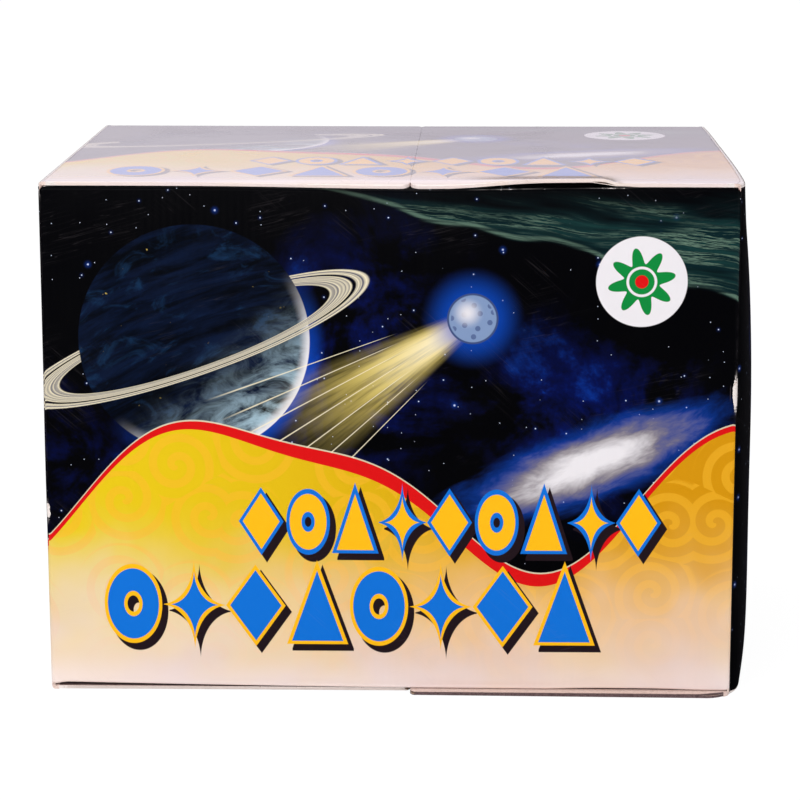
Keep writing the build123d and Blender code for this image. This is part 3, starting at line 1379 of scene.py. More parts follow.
@dataclass
class Wall:
    """One wall of the sleeve, drawn facing +Y and then turned about Z."""

    name: str
    turn: float                # about Z, in radians
    half: float                # half its length
    face: float                # from the carton's middle to the flat wall's outside
    crown: float               # how far its middle stands out
    low: float                 # height of its lower fold
    high: float                # height of its upper fold
    sizes: CartonSizes
    sprung: float = 0.0        # how far its lower fold has sprung up
    squareness: float = 2.0    # power by which its bow falls away to the creases
    above: float = SWELL_ABOVE     # power by which its swell falls away upwards
    low_bow: float = 0.0       # how far the middle of its lower fold stands out
    high_bow: float = 0.0      # and of its upper fold
    low_puff: float = 0.0      # how far the board stands out beside its front crease, low
    high_puff: float = 0.0     # and high
    columns: int = 92
    rows: int = 76

    BOW_REACH = 45.0 * MM      # how far into a flap its fold's bow runs
    PUFF_REACH = 26.0 * MM     # height in which the lower puff fades into the higher
    PUFF_POWER = 26            # how squarely a puff ends at its crease
    SETTLE_REACH = 42.0 * MM   # how far up or down the wall a fold's movement runs
    WEAR = 0.10                # away from knocks
    # Dents: waves along and up, in radians to the metre, phases and heights in mm.
    DENTS = ((31.0, 17.0, 1.0, 0.30), (63.0, -44.0, 2.0, 0.17), (12.0, 71.0, 3.0, 0.15))

    @property
    def run(self) -> float:
        """Half the length between the creases."""
        return self.half - CREASE_RADIUS

    def bow(self, u: np.ndarray) -> np.ndarray:
        """Share of the crown at u: 1 in the middle and 0 at both creases."""
        return 1.0 - np.clip(np.abs(u / self.run), 0.0, 1.0) ** self.squareness

    def across(self, inside: bool) -> tuple[np.ndarray, np.ndarray, np.ndarray]:
        """Columns of the wall, from half-way round one crease to half-way round the other.

        Between the creases they are spaced by a cosine, so that they crowd at the ends.

        Args:
            inside: For the inner face.

        Returns:
            Place across, distance out of the flat wall, and share of the crown.
        """
        radius = CREASE_RADIUS - (self.sizes.board if inside else 0.0)
        angle = np.linspace(math.pi / 4, 0.0, CREASE_STEPS)
        middle = -self.run * np.cos(np.linspace(0.0, math.pi, self.columns))[1:-1]
        end = self.run + radius * np.sin(angle)
        drop = radius * np.cos(angle) - CREASE_RADIUS
        flat = np.full(middle.shape, radius - CREASE_RADIUS)
        u = np.concatenate([-end, middle, end[::-1]])
        return u, np.concatenate([drop, flat, drop[::-1]]), self.bow(u)

    def puffed(self, u: np.ndarray, z: np.ndarray) -> np.ndarray:
        """How far the board stands out beside one crease, and more so near the floor.

        It grows evenly along the wall and falls away by a high power at the crease.

        Args:
            u: Along the wall.
            z: Up.

        Returns:
            The distance out.
        """
        share = np.clip(u / self.run, -1.0, 1.0)
        near_floor = np.exp(-np.abs(z) / self.PUFF_REACH)
        much = self.high_puff + (self.low_puff - self.high_puff) * near_floor
        growth = np.clip(0.25 + 0.75 * share, 0.0, 1.0)
        return much * (1.0 - np.abs(share) ** self.PUFF_POWER) * growth

    def swollen(self, z: np.ndarray) -> np.ndarray:
        """Crown of the wall at a height: from its folds' own bow up to its full crown.

        Args:
            z: Up.

        Returns:
            The crown.
        """
        first = self.low + self.sizes.board
        last = self.high - self.sizes.board
        share = (z - first) / (last - first)
        fold = np.where(share < SWELL_MIDDLE, self.low_bow, self.high_bow)
        return fold + (self.crown - fold) * swell(share, self.above)

    def fold_bow(self, end: int, w: np.ndarray, s: np.ndarray) -> np.ndarray:
        """How far a flap's place stands out with its bowed fold, less and less inwards."""
        bow, z = (self.high_bow, self.high) if end > 0 else (self.low_bow, self.low)
        return (bow * self.bow(w) + self.puffed(w, z)) * left_of(s, self.BOW_REACH)

    def dents(self, u: np.ndarray, z: np.ndarray) -> np.ndarray:
        """Soft unevenness: three crossing sines that die away at the creases and folds.

        Args:
            u: Along the wall.
            z: Up.

        Returns:
            The distance out.
        """
        phase = 1.7 * self.turn
        hill = sum(np.sin(u * along + z * up + number * phase) * height
                   for along, up, number, height in self.DENTS)
        inward = np.clip(1.0 - (u / self.run) ** 2, 0.0, 1.0)
        inward = inward * swell((z - self.low) / (self.high - self.low))
        return hill * inward * MM

    def spring(self, u: np.ndarray) -> np.ndarray:
        """How far the lower fold has sprung up: towards one corner, and in a low arch.

        The corner's part is a power of the distance along and ends steeply at the
        crease. The arch is a flat-topped bell.

        Args:
            u: Along the wall.

        Returns:
            The distance up.
        """
        share = u / self.half
        corner = np.clip((share + 0.13) / 1.13, 0.0, 1.0) ** 1.7
        corner = corner * np.clip((1.0 - share) / 0.05, 0.0, 1.0) ** 0.7
        return self.sprung * (corner + 0.33 * np.exp(-((share + 0.68) / 0.18) ** 4))

    def sink(self, u: np.ndarray) -> np.ndarray:
        """How far the upper fold has sunk: only the front's has."""
        return sunk(-u) if self.name == "front" else np.zeros_like(u)

    def settle(self, z: np.ndarray, end: int) -> np.ndarray:
        """How much of a fold's own movement is left at a height away from it."""
        return left_of(self.high - z if end > 0 else z - self.low, self.SETTLE_REACH)

    def world(self, u: np.ndarray, v: np.ndarray, z: np.ndarray) -> np.ndarray:
        """Turn a place on the wall into the carton's frame.

        Args:
            u: Along the wall.
            v: Out of the carton's middle.
            z: Up.

        Returns:
            The same shape with a last axis of 3.
        """
        u, v, z = np.broadcast_arrays(u, v, z)
        c, s = math.cos(self.turn), math.sin(self.turn)
        return np.stack([u * c - v * s, u * s + v * c, z], axis=-1)

    def grid(self, z: np.ndarray, inside: bool) -> np.ndarray:
        """Face of the wall at heights z: flat wall, crease drop, bow, puff and dents.

        Both ends follow their folds, which have sprung or sunk.

        Args:
            z: Its rows' heights.
            inside: For the inner face.

        Returns:
            Rows by columns by 3.
        """
        u, out, bow = self.across(inside)
        u, z = u[None, :], z[:, None]
        v = self.face + out[None, :] + self.swollen(z) * bow[None, :]
        moved = self.spring(u) * self.settle(z, -1) - self.sink(u) * self.settle(z, 1)
        return self.world(u, v + self.puffed(u, z) + self.dents(u, z), z + moved)

    def build(self, materials: tuple[bpy.types.Material, ...]) -> None:
        """Make the wall between its two fold bands, riding on the sleeve.

        Args:
            materials: Materials in the order of Slot.
        """
        share = 0.5 - 0.5 * np.cos(np.linspace(0.0, math.pi, self.rows))
        low = self.low + BAND_REACH
        high = self.high - BAND_REACH
        z = low + (high - low) * share
        u = self.across(False)[0]
        to_crease = np.abs(self.half - CREASE_RADIUS * 0.3 - np.abs(u))[None, :]
        to_fold = np.minimum(z - self.low, self.high - z)[:, None]
        outer = self.grid(z, False)
        wear = wear_at(outer, self.sizes, self.WEAR)
        parts = MeshParts()
        parts.add_shell(outer, self.grid(z, True),
                        np.stack([np.minimum(to_crease, to_fold), wear], -1),
                        (Slot.OUTSIDE, Slot.INSIDE, Slot.CORE))
        made = parts.build(f"{self.name}_wall_board", materials)
        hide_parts(f"{self.name}_wall")
        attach(made, "sleeve")


@dataclass(frozen=True)
class FlapGrid:
    """Places over a flap: rows run from the band to the free end, columns along the fold."""

    s: np.ndarray              # from the wall's face into the carton
    w: np.ndarray              # along the fold, after the taper
    to_end: np.ndarray         # distance from the free end
    to_side: np.ndarray        # distance from the nearer side, before the taper


@dataclass
class Flap:
    """One flap and the band of board that folds between it and its wall.

    Its own axes are s, from the wall's face into the carton, w, along the fold as the
    wall's u, and a depth below the flap's outside.
    """

    name: str
    wall: Wall
    end: int                   # 1 on top, -1 at the bottom
    level: float               # height of its outside
    length: float
    half: float                # half its width, along the fold
    taper: float               # how much each long edge runs in by the free end
    corner: float              # radius of its two free corners
    slide: float = 0.0         # how far it has slid along its fold
    fold_wear: float = 0.15
    edge: Slot = Slot.OUTSIDE  # what its cut edges show
    shut: bool = False         # its free end is pressed thin and meets another flap
    fold_radius: float = 1.6 * MM
    rows: int = 14

    FINE = 4                   # the outer sheet has this many times the rows
    END_ROWS = (1.5, 0.9, 0.6, 0.35, 0.0)      # closer rows at the free end, in mm from it
    END_FROM = 3.0             # where the even rows stop, in mm from it
    # A cut edge: the sheet rounds down over the flutes and wraps the board's thickness.
    ROUND_REACH = 1.2 * MM
    ROUND_DEPTH = 0.30 * MM
    WRAP_FROM = 0.8 * MM
    WRAP_RUN = 0.5 * MM
    SHUT_SHARPER = 4.6         # a shut end is that much steeper than a side
    SHUT_FLAT = 0.55 * MM      # and rounds down only as a side does at this distance
    # Painted shade inside a bottom flap: a strip in the slit, and the edge that has slid out.
    SLIT_GAP = 0.4 * MM
    SLIT_RISE = 0.8 * MM
    SLIT_WIDTH = 11.0 * MM
    SLIT_FALL = 3.0 * MM
    LIP_WIDTH = 2.3 * MM
    LIP_FALL = 0.7 * MM
    FULL_SHADE = 1.9                 # wear that stands for full painted shade
    # Rows of the band: up the wall, round the fold and along the flap.
    STRAIGHT_ROWS = 4
    TURN_ROWS = 13
    SUNK_LINE = 1.1 * MM       # how far a sunken fold's worn line lies on the flap
    BLEND = 0.22, 0.78         # shares of the board; build_band works out two points from them and doesn't use them

    def shift(self, s: np.ndarray) -> np.ndarray:
        """How far the slid flap has moved along its fold: evenly up to its full slide."""
        share = np.clip(s / LIP_RUN, 0.0, 1.0)
        return self.slide * share * (2.0 - share)

    def from_front(self, w: np.ndarray) -> np.ndarray:
        """Distance of an outer flap's place from its front long edge."""
        return self.half + (w if self.wall.name == "left" else -w)

    def lift(self, s: np.ndarray, w: np.ndarray) -> np.ndarray:
        """How far the board stands out of its plane: as its fold does, fading inwards.

        Args:
            s: From the wall's face into the carton.
            w: Along the fold.

        Returns:
            The distance out.
        """
        if not self.wall.sprung:
            return np.zeros(np.broadcast_shapes(s.shape, w.shape))
        moved = self.wall.sink(w) if self.end > 0 else self.wall.spring(w)
        return -moved * left_of(s, EDGE_REACH)

    def world(self, s: np.ndarray, w: np.ndarray, depth: np.ndarray) -> np.ndarray:
        """Turn a place on the flap into the carton's frame.

        Args:
            s: From the wall's face into the carton.
            w: Along the fold.
            depth: Below the flap's outside.

        Returns:
            The same shape with a last axis of 3.
        """
        s, w, depth = np.broadcast_arrays(s, w, depth)
        z = self.level - self.end * depth
        out = self.wall.fold_bow(self.end, w, s)
        return self.wall.world(w + self.shift(s), self.wall.face - s + out, z)

    def reach(self, w: np.ndarray) -> np.ndarray:
        """Where the free end is at w: straight, with a quarter circle at each corner."""
        over = np.clip(np.abs(w) - (self.half - self.corner), 0.0, self.corner)
        return self.length - self.corner + np.sqrt(self.corner ** 2 - over ** 2)

    def grid(self, w: np.ndarray, rows: int) -> FlapGrid:
        """Grid over the flap, with closer rows at its free end.

        Args:
            w: Columns along the fold.
            rows: Even rows.

        Returns:
            The grid.
        """
        run = self.length - BAND_REACH
        last = 1.0 - np.array(self.END_ROWS) * MM / run
        even = np.linspace(0.0, 1.0 - self.END_FROM * MM / run, rows)
        share = np.concatenate([even, last])[:, None]
        end = self.reach(w)[None, :]
        s = BAND_REACH + share * (end - BAND_REACH)
        return FlapGrid(s, w[None, :] * (1.0 - self.taper / self.half * s / self.length),
                        end - s, np.broadcast_to(self.half - np.abs(w)[None, :], s.shape))

    def sheet(self, grid: FlapGrid, depth: np.ndarray | float) -> np.ndarray:
        """Points of the grid at a depth below the flap's outside."""
        return self.world(grid.s, grid.w, depth - self.lift(grid.s, grid.w))

    def pressed(self, grid: FlapGrid) -> tuple[np.ndarray, np.ndarray]:
        """Depths of the outer liner's two faces: at a cut edge it is pressed over the flutes.

        Args:
            grid: The outer liner's.

        Returns:
            Depth of its outside, and of its inside.
        """
        side = grid.to_side
        end = grid.to_end * self.SHUT_SHARPER if self.shut else side
        hardly = np.minimum(side, np.maximum(end, self.SHUT_FLAT))
        rounded = left_of(hardly, self.ROUND_REACH) * self.ROUND_DEPTH
        wrapped = np.clip((self.WRAP_FROM - np.minimum(side, end)) / self.WRAP_RUN, 0.0, 1.0)
        return rounded, LINER + wrapped * (self.wall.sizes.board - 2 * LINER)

    def values(self, grid: FlapGrid) -> np.ndarray:
        """Distance to the nearest edge or fold, and wear, over a grid.

        Args:
            grid: A grid over the flap.

        Returns:
            Rows by columns by 2.
        """
        away = np.minimum(np.minimum(grid.s, grid.to_end), grid.to_side)
        wear = wear_at(self.sheet(grid, 0.0), self.wall.sizes, 0.0)
        return np.stack([away, wear + self.fold_wear * left_of(grid.s, EDGE_REACH, 1.0)], -1)

    def painted_shade(self, grid: FlapGrid) -> np.ndarray:
        """Painted shade on the inside of an outer bottom flap, along its front edge.

        It lies on the cut edge of the slid flap, and in both flaps' slit under the wall, where
        shade falls.

        Args:
            grid: The inner liner's.

        Returns:
            The painted shade, 0 to 1.
        """
        front = self.from_front(grid.w)
        if self.end > 0:
            return np.zeros(front.shape)
        slit = self.slide + self.SLIT_GAP
        deep = np.clip((front - slit) / self.SLIT_RISE, 0.0, 1.0)
        deep = deep * np.clip((slit + self.SLIT_WIDTH - front) / self.SLIT_FALL, 0.0, 1.0)
        if not self.slide:
            return deep
        return np.maximum(deep, np.clip((self.LIP_WIDTH - front) / self.LIP_FALL, 0.0, 1.0))

    def columns(self) -> np.ndarray:
        """Columns along the fold, in step with the wall's."""
        u = self.wall.across(False)[0]
        return u * (self.half / np.abs(u).max())

    def finish(self, parts: MeshParts, label: str, materials: tuple) -> None:
        """Make a piece of the flap's own board and hang it on the flap's body.

        Args:
            parts: Its shells.
            label: What the piece's name ends with.
            materials: Materials in the order of Slot.
        """
        made = parts.build(f"{self.name}_{label}", materials)
        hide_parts(self.name)
        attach(made, self.name)

    def build(self, materials: tuple[bpy.types.Material, ...], slot: str) -> None:
        """Make the flap's liners, flutes and fold band.

        Args:
            materials: Materials in the order of Slot.
            slot: The record's material slot; not used.
        """
        fine = self.grid(self.columns(), self.rows * self.FINE)
        outside, inside = (self.sheet(fine, depth) for depth in self.pressed(fine))
        printed = MeshParts()
        printed.add_shell(outside, inside, self.values(fine),
                          (Slot.OUTSIDE, Slot.INSIDE, self.edge), self.bleed_rows())
        self.finish(printed, "top_sheet", materials)
        board = self.wall.sizes.board
        plain = self.grid(self.columns(), self.rows)
        values = self.values(plain)
        # Painted shade: the inner liner darkens in the slit under the wall and along the slid
        # flap's front edge.
        values[..., 1] += self.FULL_SHADE * self.painted_shade(plain)
        parts = MeshParts()
        parts.add_shell(self.sheet(plain, board - LINER), self.sheet(plain, board), values,
                        (Slot.CORE, Slot.INSIDE, self.edge))
        self.add_flutes(parts)
        self.finish(parts, "board", materials)
        self.build_band(materials)

    def add_flutes(self, parts: MeshParts) -> None:
        """Add the fluted paper between the liners: a cosine along the fold.

        Args:
            parts: Shells that it joins.
        """
        board = self.wall.sizes.board
        inset = self.half - FLUTE_INSET
        flutes = int(2 * inset / FLUTE_PITCH)
        across = np.linspace(-inset, inset, flutes * FLUTE_STEPS + 1)
        swing = board / 2 - LINER - MEDIUM / 2
        wave = board / 2 + swing * np.cos(across * (TURN / FLUTE_PITCH))[None, :]
        medium = replace(self, length=self.length - (FLUTE_INSET if self.shut else 0.0))
        grid = medium.grid(across, self.rows)
        parts.add_shell(medium.sheet(grid, wave - MEDIUM / 2),
                        medium.sheet(grid, wave + MEDIUM / 2),
                        medium.values(grid), (Slot.CORE, Slot.CORE, Slot.CORE))

    def profile(self, inside: bool) -> tuple[np.ndarray, np.ndarray, np.ndarray]:
        """Rows of the band's outer or inner face, from the wall to the flap.

        The outside runs up the wall, round a quarter circle about the board's inside
        corner and along the flap. The inside does the same about a small bead.

        Args:
            inside: For the inner face.

        Returns:
            Columns of s, of depth below the outside, and of how far a row is the wall's.
        """
        board, few, many = self.wall.sizes.board, self.STRAIGHT_ROWS, self.TURN_ROWS
        start, radius = (board, BEAD_RADIUS) if inside else (0.0, self.fold_radius)
        centre = start + radius
        turn = np.linspace(math.pi, math.pi / 2, many)
        up = BAND_REACH + (centre - BAND_REACH) * np.linspace(0.0, 1.0, few + 1)[:-1]
        s = np.concatenate([np.full(few, start), centre + radius * np.cos(turn), up[::-1]])
        deep = np.concatenate([up, centre - radius * np.sin(turn), np.full(few, start)])
        of_wall = np.concatenate([np.ones(few), np.linspace(1.0, 0.0, many), np.zeros(few)])
        return s[:, None], deep[:, None], of_wall[:, None]

    def band(self, inside: bool) -> np.ndarray:
        """Face of the band: it turns from the wall's columns to the flap's, row by row.

        Args:
            inside: For the inner face.

        Returns:
            Rows by columns by 3.
        """
        wall = self.wall
        s, deep, of_wall = self.profile(inside)
        u, out, bow = (row[None, :] for row in wall.across(inside))
        z = self.level - self.end * deep
        flat = -wall.sizes.board if inside else 0.0
        of_flap = 1 - of_wall
        sway = out - flat + wall.swollen(z) * bow + wall.puffed(u, z) + wall.dents(u, z)
        w = u * of_wall + self.columns()[None, :] * of_flap
        w = w * (1.0 - of_flap * self.taper / self.half * s / self.length)
        sway = sway * of_wall + wall.fold_bow(self.end, w, s) * of_flap
        lift = self.lift(s, w) * (wall.settle(z, self.end) * of_wall + 1 - of_wall)
        return wall.world(w + self.shift(s), wall.face - s + sway, z + self.end * lift)

    def build_band(self, materials: tuple[bpy.types.Material, ...]) -> None:
        """Make the board that bends between the wall and the flap.

        Args:
            materials: Materials in the order of Slot.
        """
        outer = self.band(False)
        line = self.SUNK_LINE if self.wall.sprung and self.end > 0 else 0.0
        away = np.abs(np.linspace(-BAND_REACH, BAND_REACH, outer.shape[0]) - line)[:, None]
        wear = wear_at(outer, self.wall.sizes, self.fold_wear)
        parts = MeshParts()
        parts.add_shell(outer, self.band(True),
                        np.stack([np.broadcast_to(away, outer.shape[:2]), wear], -1),
                        (Slot.OUTSIDE, Slot.INSIDE, Slot.INSIDE), self.wall_rows())
        made = parts.build(f"{self.name}_fold", materials)
        board, middle = self.wall.sizes.board, np.zeros(1)
        near, far = (self.wall.world(middle, self.wall.face - np.array([s * board]),
                                     self.level - self.end * np.array([deep * board]))[0]
                     for s, deep in (self.BLEND, self.BLEND[::-1]))
        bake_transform(made)

    @property
    def band_faces(self) -> int:
        """Rows of the band's faces."""
        return 2 * self.STRAIGHT_ROWS + self.TURN_ROWS - 1

    def wall_rows(self) -> int:
        """Rows of the band's faces that wear the wall's print: up to the fold, or half-way."""
        return self.STRAIGHT_ROWS + 1 if self.shut else self.band_faces // 2

    def bleed_rows(self) -> int:
        """Rows of the flap's own faces that wear it: none."""
        return 0


class PlainFlap(Flap):
    """Inner flap: the wall's print runs right over its fold."""

    def painted_shade(self, grid: FlapGrid) -> np.ndarray:
        """Painted shade on its inside: none."""
        return np.zeros(grid.s.shape)

    def wall_rows(self) -> int:
        """Rows of the band's faces that wear the wall's print: all."""
        return self.band_faces

    def bleed_rows(self) -> int:
        """Rows of the flap's own faces that wear it: the print bleeds over the fold."""
        return 7


class TopFlap(Flap):
    """Outer top flap: its front edge lies on the sunken fold."""

    def lift(self, s: np.ndarray, w: np.ndarray) -> np.ndarray:
        """How far the board stands out of its plane: it sinks beside the seam.

        Args:
            s: From the wall's face into the carton.
            w: Along the fold.

        Returns:
            The distance out.
        """
        s, w = np.broadcast_arrays(s, w)
        x = (s - self.wall.face) * (1.0 if self.wall.name == "left" else -1.0)
        return -sunk(x) * left_of(self.from_front(w), EDGE_REACH)


class RightTopFlap(TopFlap):
    """Top flap whose front edge has sprung up in one long ripple."""

    FIRST = 51.0 * MM          # where the ripple starts, from the fold
    RISE = 9.0 * MM
    LAST = 128.0 * MM          # where it ends
    FALL = 44.0 * MM
    HEIGHT = 2.2 * MM
    INWARDS = 26.0 * MM        # how far it reaches from the front edge

    def lift(self, s: np.ndarray, w: np.ndarray) -> np.ndarray:
        """Ripple along s that rises fast from its start, holds, and dies away slowly.

        Both its rise and its fall are three squares less two cubes of their share.

        Args:
            s: From the wall's face into the carton.
            w: Along the fold.

        Returns:
            The distance out.
        """
        s, w = np.broadcast_arrays(s, w)
        rise = np.clip((s - self.FIRST) / self.RISE, 0.0, 1.0)
        fall = np.clip((self.LAST - s) / self.FALL, 0.0, 1.0)
        ripple = rise * rise * (3 - 2 * rise) * fall * fall * (3 - 2 * fall)
        front = left_of(self.from_front(w), self.INWARDS)
        return self.HEIGHT * ripple * front + super().lift(s, w)


class Carton:
    """The whole carton: walls, flaps and the glued lap."""

    # The side walls' squarer swell needs less of the solids' crown.
    RIGHT_SHARE = 0.90
    LEFT_SHARE = 0.76
    # Taper of a flap's long edges, and radius of its corners.
    TAPERS = {"outer": (1.2 * MM, 4.0 * MM), "inner": (6.0 * MM, 14.0 * MM)}
    TOP_WEAR = 1.2             # along the fold of an outer top flap
    BASE_WEAR = 0.3            # along the fold of an outer bottom flap
    TIGHT_FOLD = 0.95 * MM     # outside radius of the fold inside the sprung slit

    def __init__(self, frame: dict) -> None:
        """Read the sizes and build the shared patterns.
        """
        self.nodes = frame["nodes"]
        self.sizes = CartonSizes.from_frame(frame)
        patterns = Patterns()
        self.inside = PlainLiner(patterns).material
        self.core = BoardCore("board_core", PAPER.core_pale, PAPER.core_dark, patterns).material
        # The slid flap's cut edge: brown board, darkened with painted shade.
        self.raw = BoardCore("raw_edge", PAPER.raw_shaded_pale, PAPER.raw_shaded_dark, patterns).material
        self.printed = {
            sheet: PrintedLiner(sheet, patterns, self.sizes.depth).material for sheet in Sheet}

    def materials(self, outside: Sheet | None, wall: Sheet) -> tuple[bpy.types.Material, ...]:
        """Materials of a board piece, in the order of Slot."""
        first = self.printed[outside] if outside else self.inside
        return (first, self.inside, self.core, self.printed[wall], self.raw)

    def walls(self) -> dict[str, Wall]:
        """Lay out the four walls.

        Returns:
            The walls by name.
        """
        z = self.sizes
        wide, deep = z.width / 2, z.depth / 2
        step, top = z.inner_step, z.height - z.inner_step
        right, left = z.side_crown * self.RIGHT_SHARE, z.side_crown * self.LEFT_SHARE
        rows = (
            Wall("front", math.pi, wide, deep, z.front_crown, step, top, z, sprung=SPRUNG),
            Wall("back", 0.0, wide, deep, z.back_crown, step, top, z),
            Wall("left", math.pi / 2, deep, wide, left, 0.0, z.height, z),
            Wall("right", -math.pi / 2, deep, wide, right, 0.0, z.height, z,
                 squareness=2.6, above=3.0, low_bow=6.6 * MM, high_bow=1.4 * MM,
                 low_puff=3.4 * MM, high_puff=2.1 * MM),
        )
        return {wall.name: wall for wall in rows}

    def flap(self, end: str, kind: str, side: str, wall: Wall) -> Flap:
        """Lay out one flap over its CAD node.

        Args:
            end: top or bottom.
            kind: outer or inner.
            side: The wall's side.
            wall: The wall that it folds from.

        Returns:
            The flap.
        """
        name = f"{end}_{kind}_flap_{side}"
        low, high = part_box(name)
        axis = 0 if kind == "outer" else 1
        way = -1 if side in ("left", "front") else 1
        free_end = low[axis] if way > 0 else high[axis]
        # The top flap gives the width, because the slid bottom flap's box is wider.
        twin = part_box(f"top_{kind}_flap_{side}")
        outer, top = kind == "outer", end == "top"
        slid = name == "bottom_outer_flap_right"
        form = PlainFlap if not outer else TopFlap if top else Flap
        if name == "top_outer_flap_right":
            form = RightTopFlap
        taper, corner = self.TAPERS[kind]
        wear = 0.0 if not outer else self.TOP_WEAR if top else self.BASE_WEAR
        return form(
            name=name, wall=wall, end=1 if top else -1,
            level=wall.high if top else wall.low,
            length=wall.face - way * free_end + (SEAM_SHUT if outer else 0.0),
            half=(twin[1][1 - axis] - twin[0][1 - axis]) / 2,
            taper=taper, corner=corner, slide=LIP if slid else 0.0, fold_wear=wear,
            # The slid flap's cut edge is darker with painted shade.
            edge=Slot.RAW if slid else Slot.OUTSIDE, shut=top and outer,
            fold_radius=(self.TIGHT_FOLD if name == "bottom_inner_flap_front"
                         else self.sizes.board))

    def build(self) -> None:
        """Make every piece, in order from the sleeve outwards."""
        walls = self.walls()
        for side, wall in walls.items():
            wall.build(self.materials(Sheet(side), Sheet(side)))
        for end, cover in (("top", Sheet.TOP), ("bottom", Sheet.BASE)):
            for kind, sides, outside, slot in (
                    ("outer", ("left", "right"), cover, "printed_board"),
                    ("inner", ("front", "back"), None, "plain_board")):
                for side in sides:
                    flap = self.flap(end, kind, side, walls[side])
                    flap.build(self.materials(outside, Sheet(side)), slot)
        self.finish_lap()

    def finish_lap(self) -> None:
        """Dress the glued lap's solid in the plain liner."""
        lap = self.nodes["glue_lap"]
        for holder in lap.material_slots:
            holder.material = self.inside
        LOG.info("glue_lap: dressed")


@dataclass(frozen=True)
class Lamp:
    """A soft square lamp: where it is, what it points at, its side and its power in watts."""

    name: str
    place: tuple[float, float, float]
    aim: tuple[float, float, float]
    size: float
    power: float

    def hang(self) -> None:
        """Put it in the scene."""
        data = bpy.data.lights.new(self.name, "AREA")
        data.size = self.size
        data.energy = self.power
        made = linked(self.name, data)
        made.location = self.place
        away = Vector(self.aim) - Vector(self.place)
        made.rotation_euler = away.to_track_quat("-Z", "Y").to_euler()


def grey(level: float) -> tuple[float, float, float, float]:
    """A linear grey."""
    return (level, level, level, 1.0)


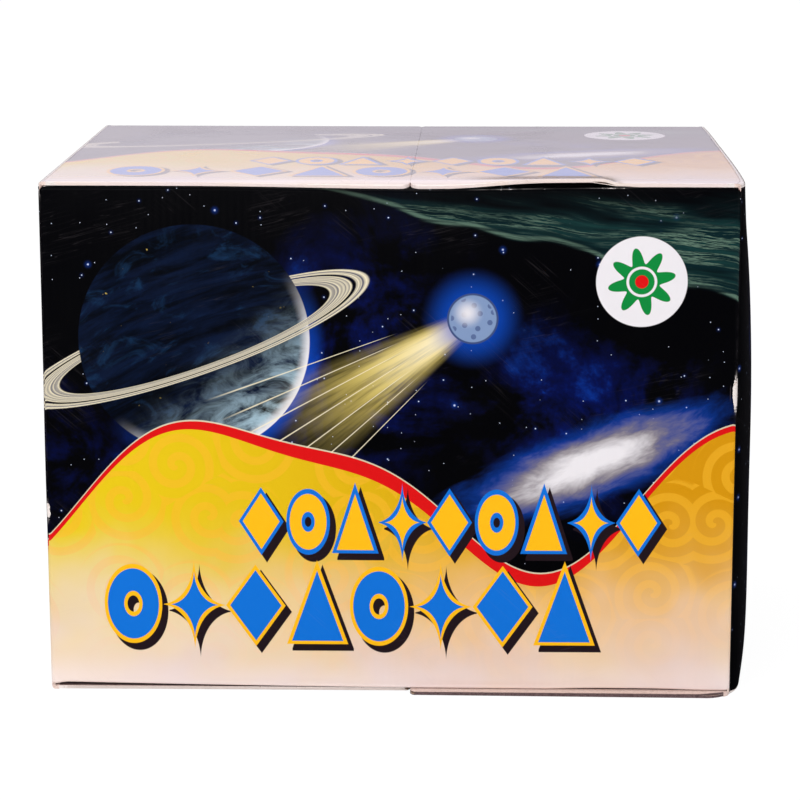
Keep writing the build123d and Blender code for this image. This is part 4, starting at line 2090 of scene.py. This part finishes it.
@dataclass(frozen=True)
class Studio:
    """Floor, lamps and camera round the carton."""

    floor_reach: float = 6.0           # from the middle to each side
    floor_grey: float = 0.84
    floor_glow: float = 1.08           # strength of the white that the camera sees
    floor_glow_share: float = 0.88     # how much of the floor that white covers
    panel: tuple = (0.99, 0.91, 1.02, 1.0)
    panel_bright: tuple = (1.27, 1.19, 1.30, 1.0)
    room: tuple = (0.012, 0.012, 0.014, 1.0)
    dome_low: float = 0.14
    dome_high: float = 0.60
    lamps: tuple[Lamp, ...] = (
        Lamp("key", (-0.9, -1.9, 0.95), (0.0, 0.0, 0.1), 1.2, 21.0),
        Lamp("fill", (1.5, -1.6, 0.65), (0.0, 0.0, 0.1), 1.4, 9.5),
        Lamp("above", (-0.42, 0.15, 1.25), (-0.05, 0.05, 0.2), 1.0, 6.2),
    )
    camera_at: tuple[float, float, float] = (0.043433, -1.310544, 0.385096)
    yaw: float = -0.0322               # radians, as are the next two
    pitch: float = 0.20764
    roll: float = -0.00128
    focus: float = 2846.93             # focal length in pixels
    pixels: float = 800.0              # width of the frame
    sensor: float = 36.0               # width of the film, in mm

    @staticmethod
    def rays(c: Canvas, *kinds: str) -> list[Value]:
        """Masks of rays of the given kinds."""
        path = c.node("ShaderNodeLightPath")
        return [Value(c, path.outputs[f"Is {kind} Ray"]) for kind in kinds]

    def floor(self) -> None:
        """Lay a pale floor that looks white, with the carton's shadow on it.

        Camera, glossy and transmission rays see a share of plain white in it.
        """
        mesh = bpy.data.meshes.new("floor")
        reach = self.floor_reach
        corners = [(-reach, -reach, 0), (reach, -reach, 0), (reach, reach, 0), (-reach, reach, 0)]
        mesh.from_pydata(corners, [], [(0, 1, 2, 3)])
        made = linked("floor", mesh)
        material = bpy.data.materials.new("pale_floor")
        material.use_nodes = True
        c = Canvas(material.node_tree)
        shader = material.node_tree.nodes["Principled BSDF"]
        c.feed(shader.inputs["Base Color"], grey(self.floor_grey))
        c.feed(shader.inputs["Roughness"], 0.9)
        c.feed(shader.inputs["Specular IOR Level"], 0.1)
        glow = c.node("ShaderNodeEmission")
        c.feed(glow.inputs["Strength"], self.floor_glow)
        straight, mirrored, through = self.rays(c, "Camera", "Glossy", "Transmission")
        seen = c.most(straight, c.most(mirrored, through)) * self.floor_glow_share
        mixed = c.fed("ShaderNodeMixShader", seen, shader.outputs[0], glow.outputs[0])
        c.feed(material.node_tree.nodes["Material Output"].inputs["Surface"], mixed.outputs[0])
        mesh.materials.append(material)
        made.visible_glossy = False

    def world(self) -> None:
        """Light the room from above, before a white background.

        Mirrors see a bright screen behind the carton, brighter on the left, in a dim room.
        """
        world = bpy.data.worlds.new("studio")
        bpy.context.scene.world = world
        world.use_nodes = True
        c = Canvas(world.node_tree)
        background = world.node_tree.nodes["Background"]
        x, y, z = c.parts(c.node("ShaderNodeTexCoord").outputs["Generated"])
        screen = c.ramp(y, 0.15, 0.55) * c.ramp(z, 0.03, 0.16) * c.ramp(z, 0.85, 0.45)
        panel = c.mix(self.panel, self.panel_bright,
                      c.ramp(x, -0.01, -0.08) * c.ramp(z, 0.134, 0.118))
        dome = c.mix(grey(self.dome_low), grey(self.dome_high), c.ramp(z, -0.05, 0.55))
        scattered, straight = self.rays(c, "Diffuse", "Camera")
        c.feed(background.inputs["Color"], c.layers(self.room, (panel, screen),
                                                    (dome, scattered), (grey(1.0), straight)))
        c.feed(background.inputs["Strength"], 1.0)

    def camera(self) -> None:
        """Stand the camera in front, a little above and right of the middle."""
        data = bpy.data.cameras.new("camera")
        data.sensor_width = self.sensor
        data.lens = self.focus / self.pixels * self.sensor
        data.clip_start = 0.01
        made = linked("camera", data)
        level = math.cos(self.pitch)
        ahead = Vector((math.sin(self.yaw) * level, math.cos(self.yaw) * level,
                        -math.sin(self.pitch)))
        right = Vector((math.cos(self.yaw), -math.sin(self.yaw), 0.0))
        up = right.cross(ahead)
        c, s = math.cos(self.roll), math.sin(self.roll)
        turned = Matrix((c * right + s * up, -s * right + c * up, -ahead)).transposed().to_4x4()
        turned.translation = Vector(self.camera_at)
        made.matrix_world = turned
        bpy.context.scene.camera = made

    def build(self) -> None:
        """Set up the floor, the world, the lamps and the camera."""
        bpy.context.scene.view_settings.view_transform = "Standard"
        self.floor()
        self.world()
        for lamp in self.lamps:
            lamp.hang()
        self.camera()


def main() -> None:
    """Load the frame, dress the carton and set up the studio."""
    logging.basicConfig(level=logging.INFO, format="%(name)s: %(message)s")
    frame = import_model()
    Carton(frame).build()
    Studio().build()


if __name__ == "__main__":
    main()
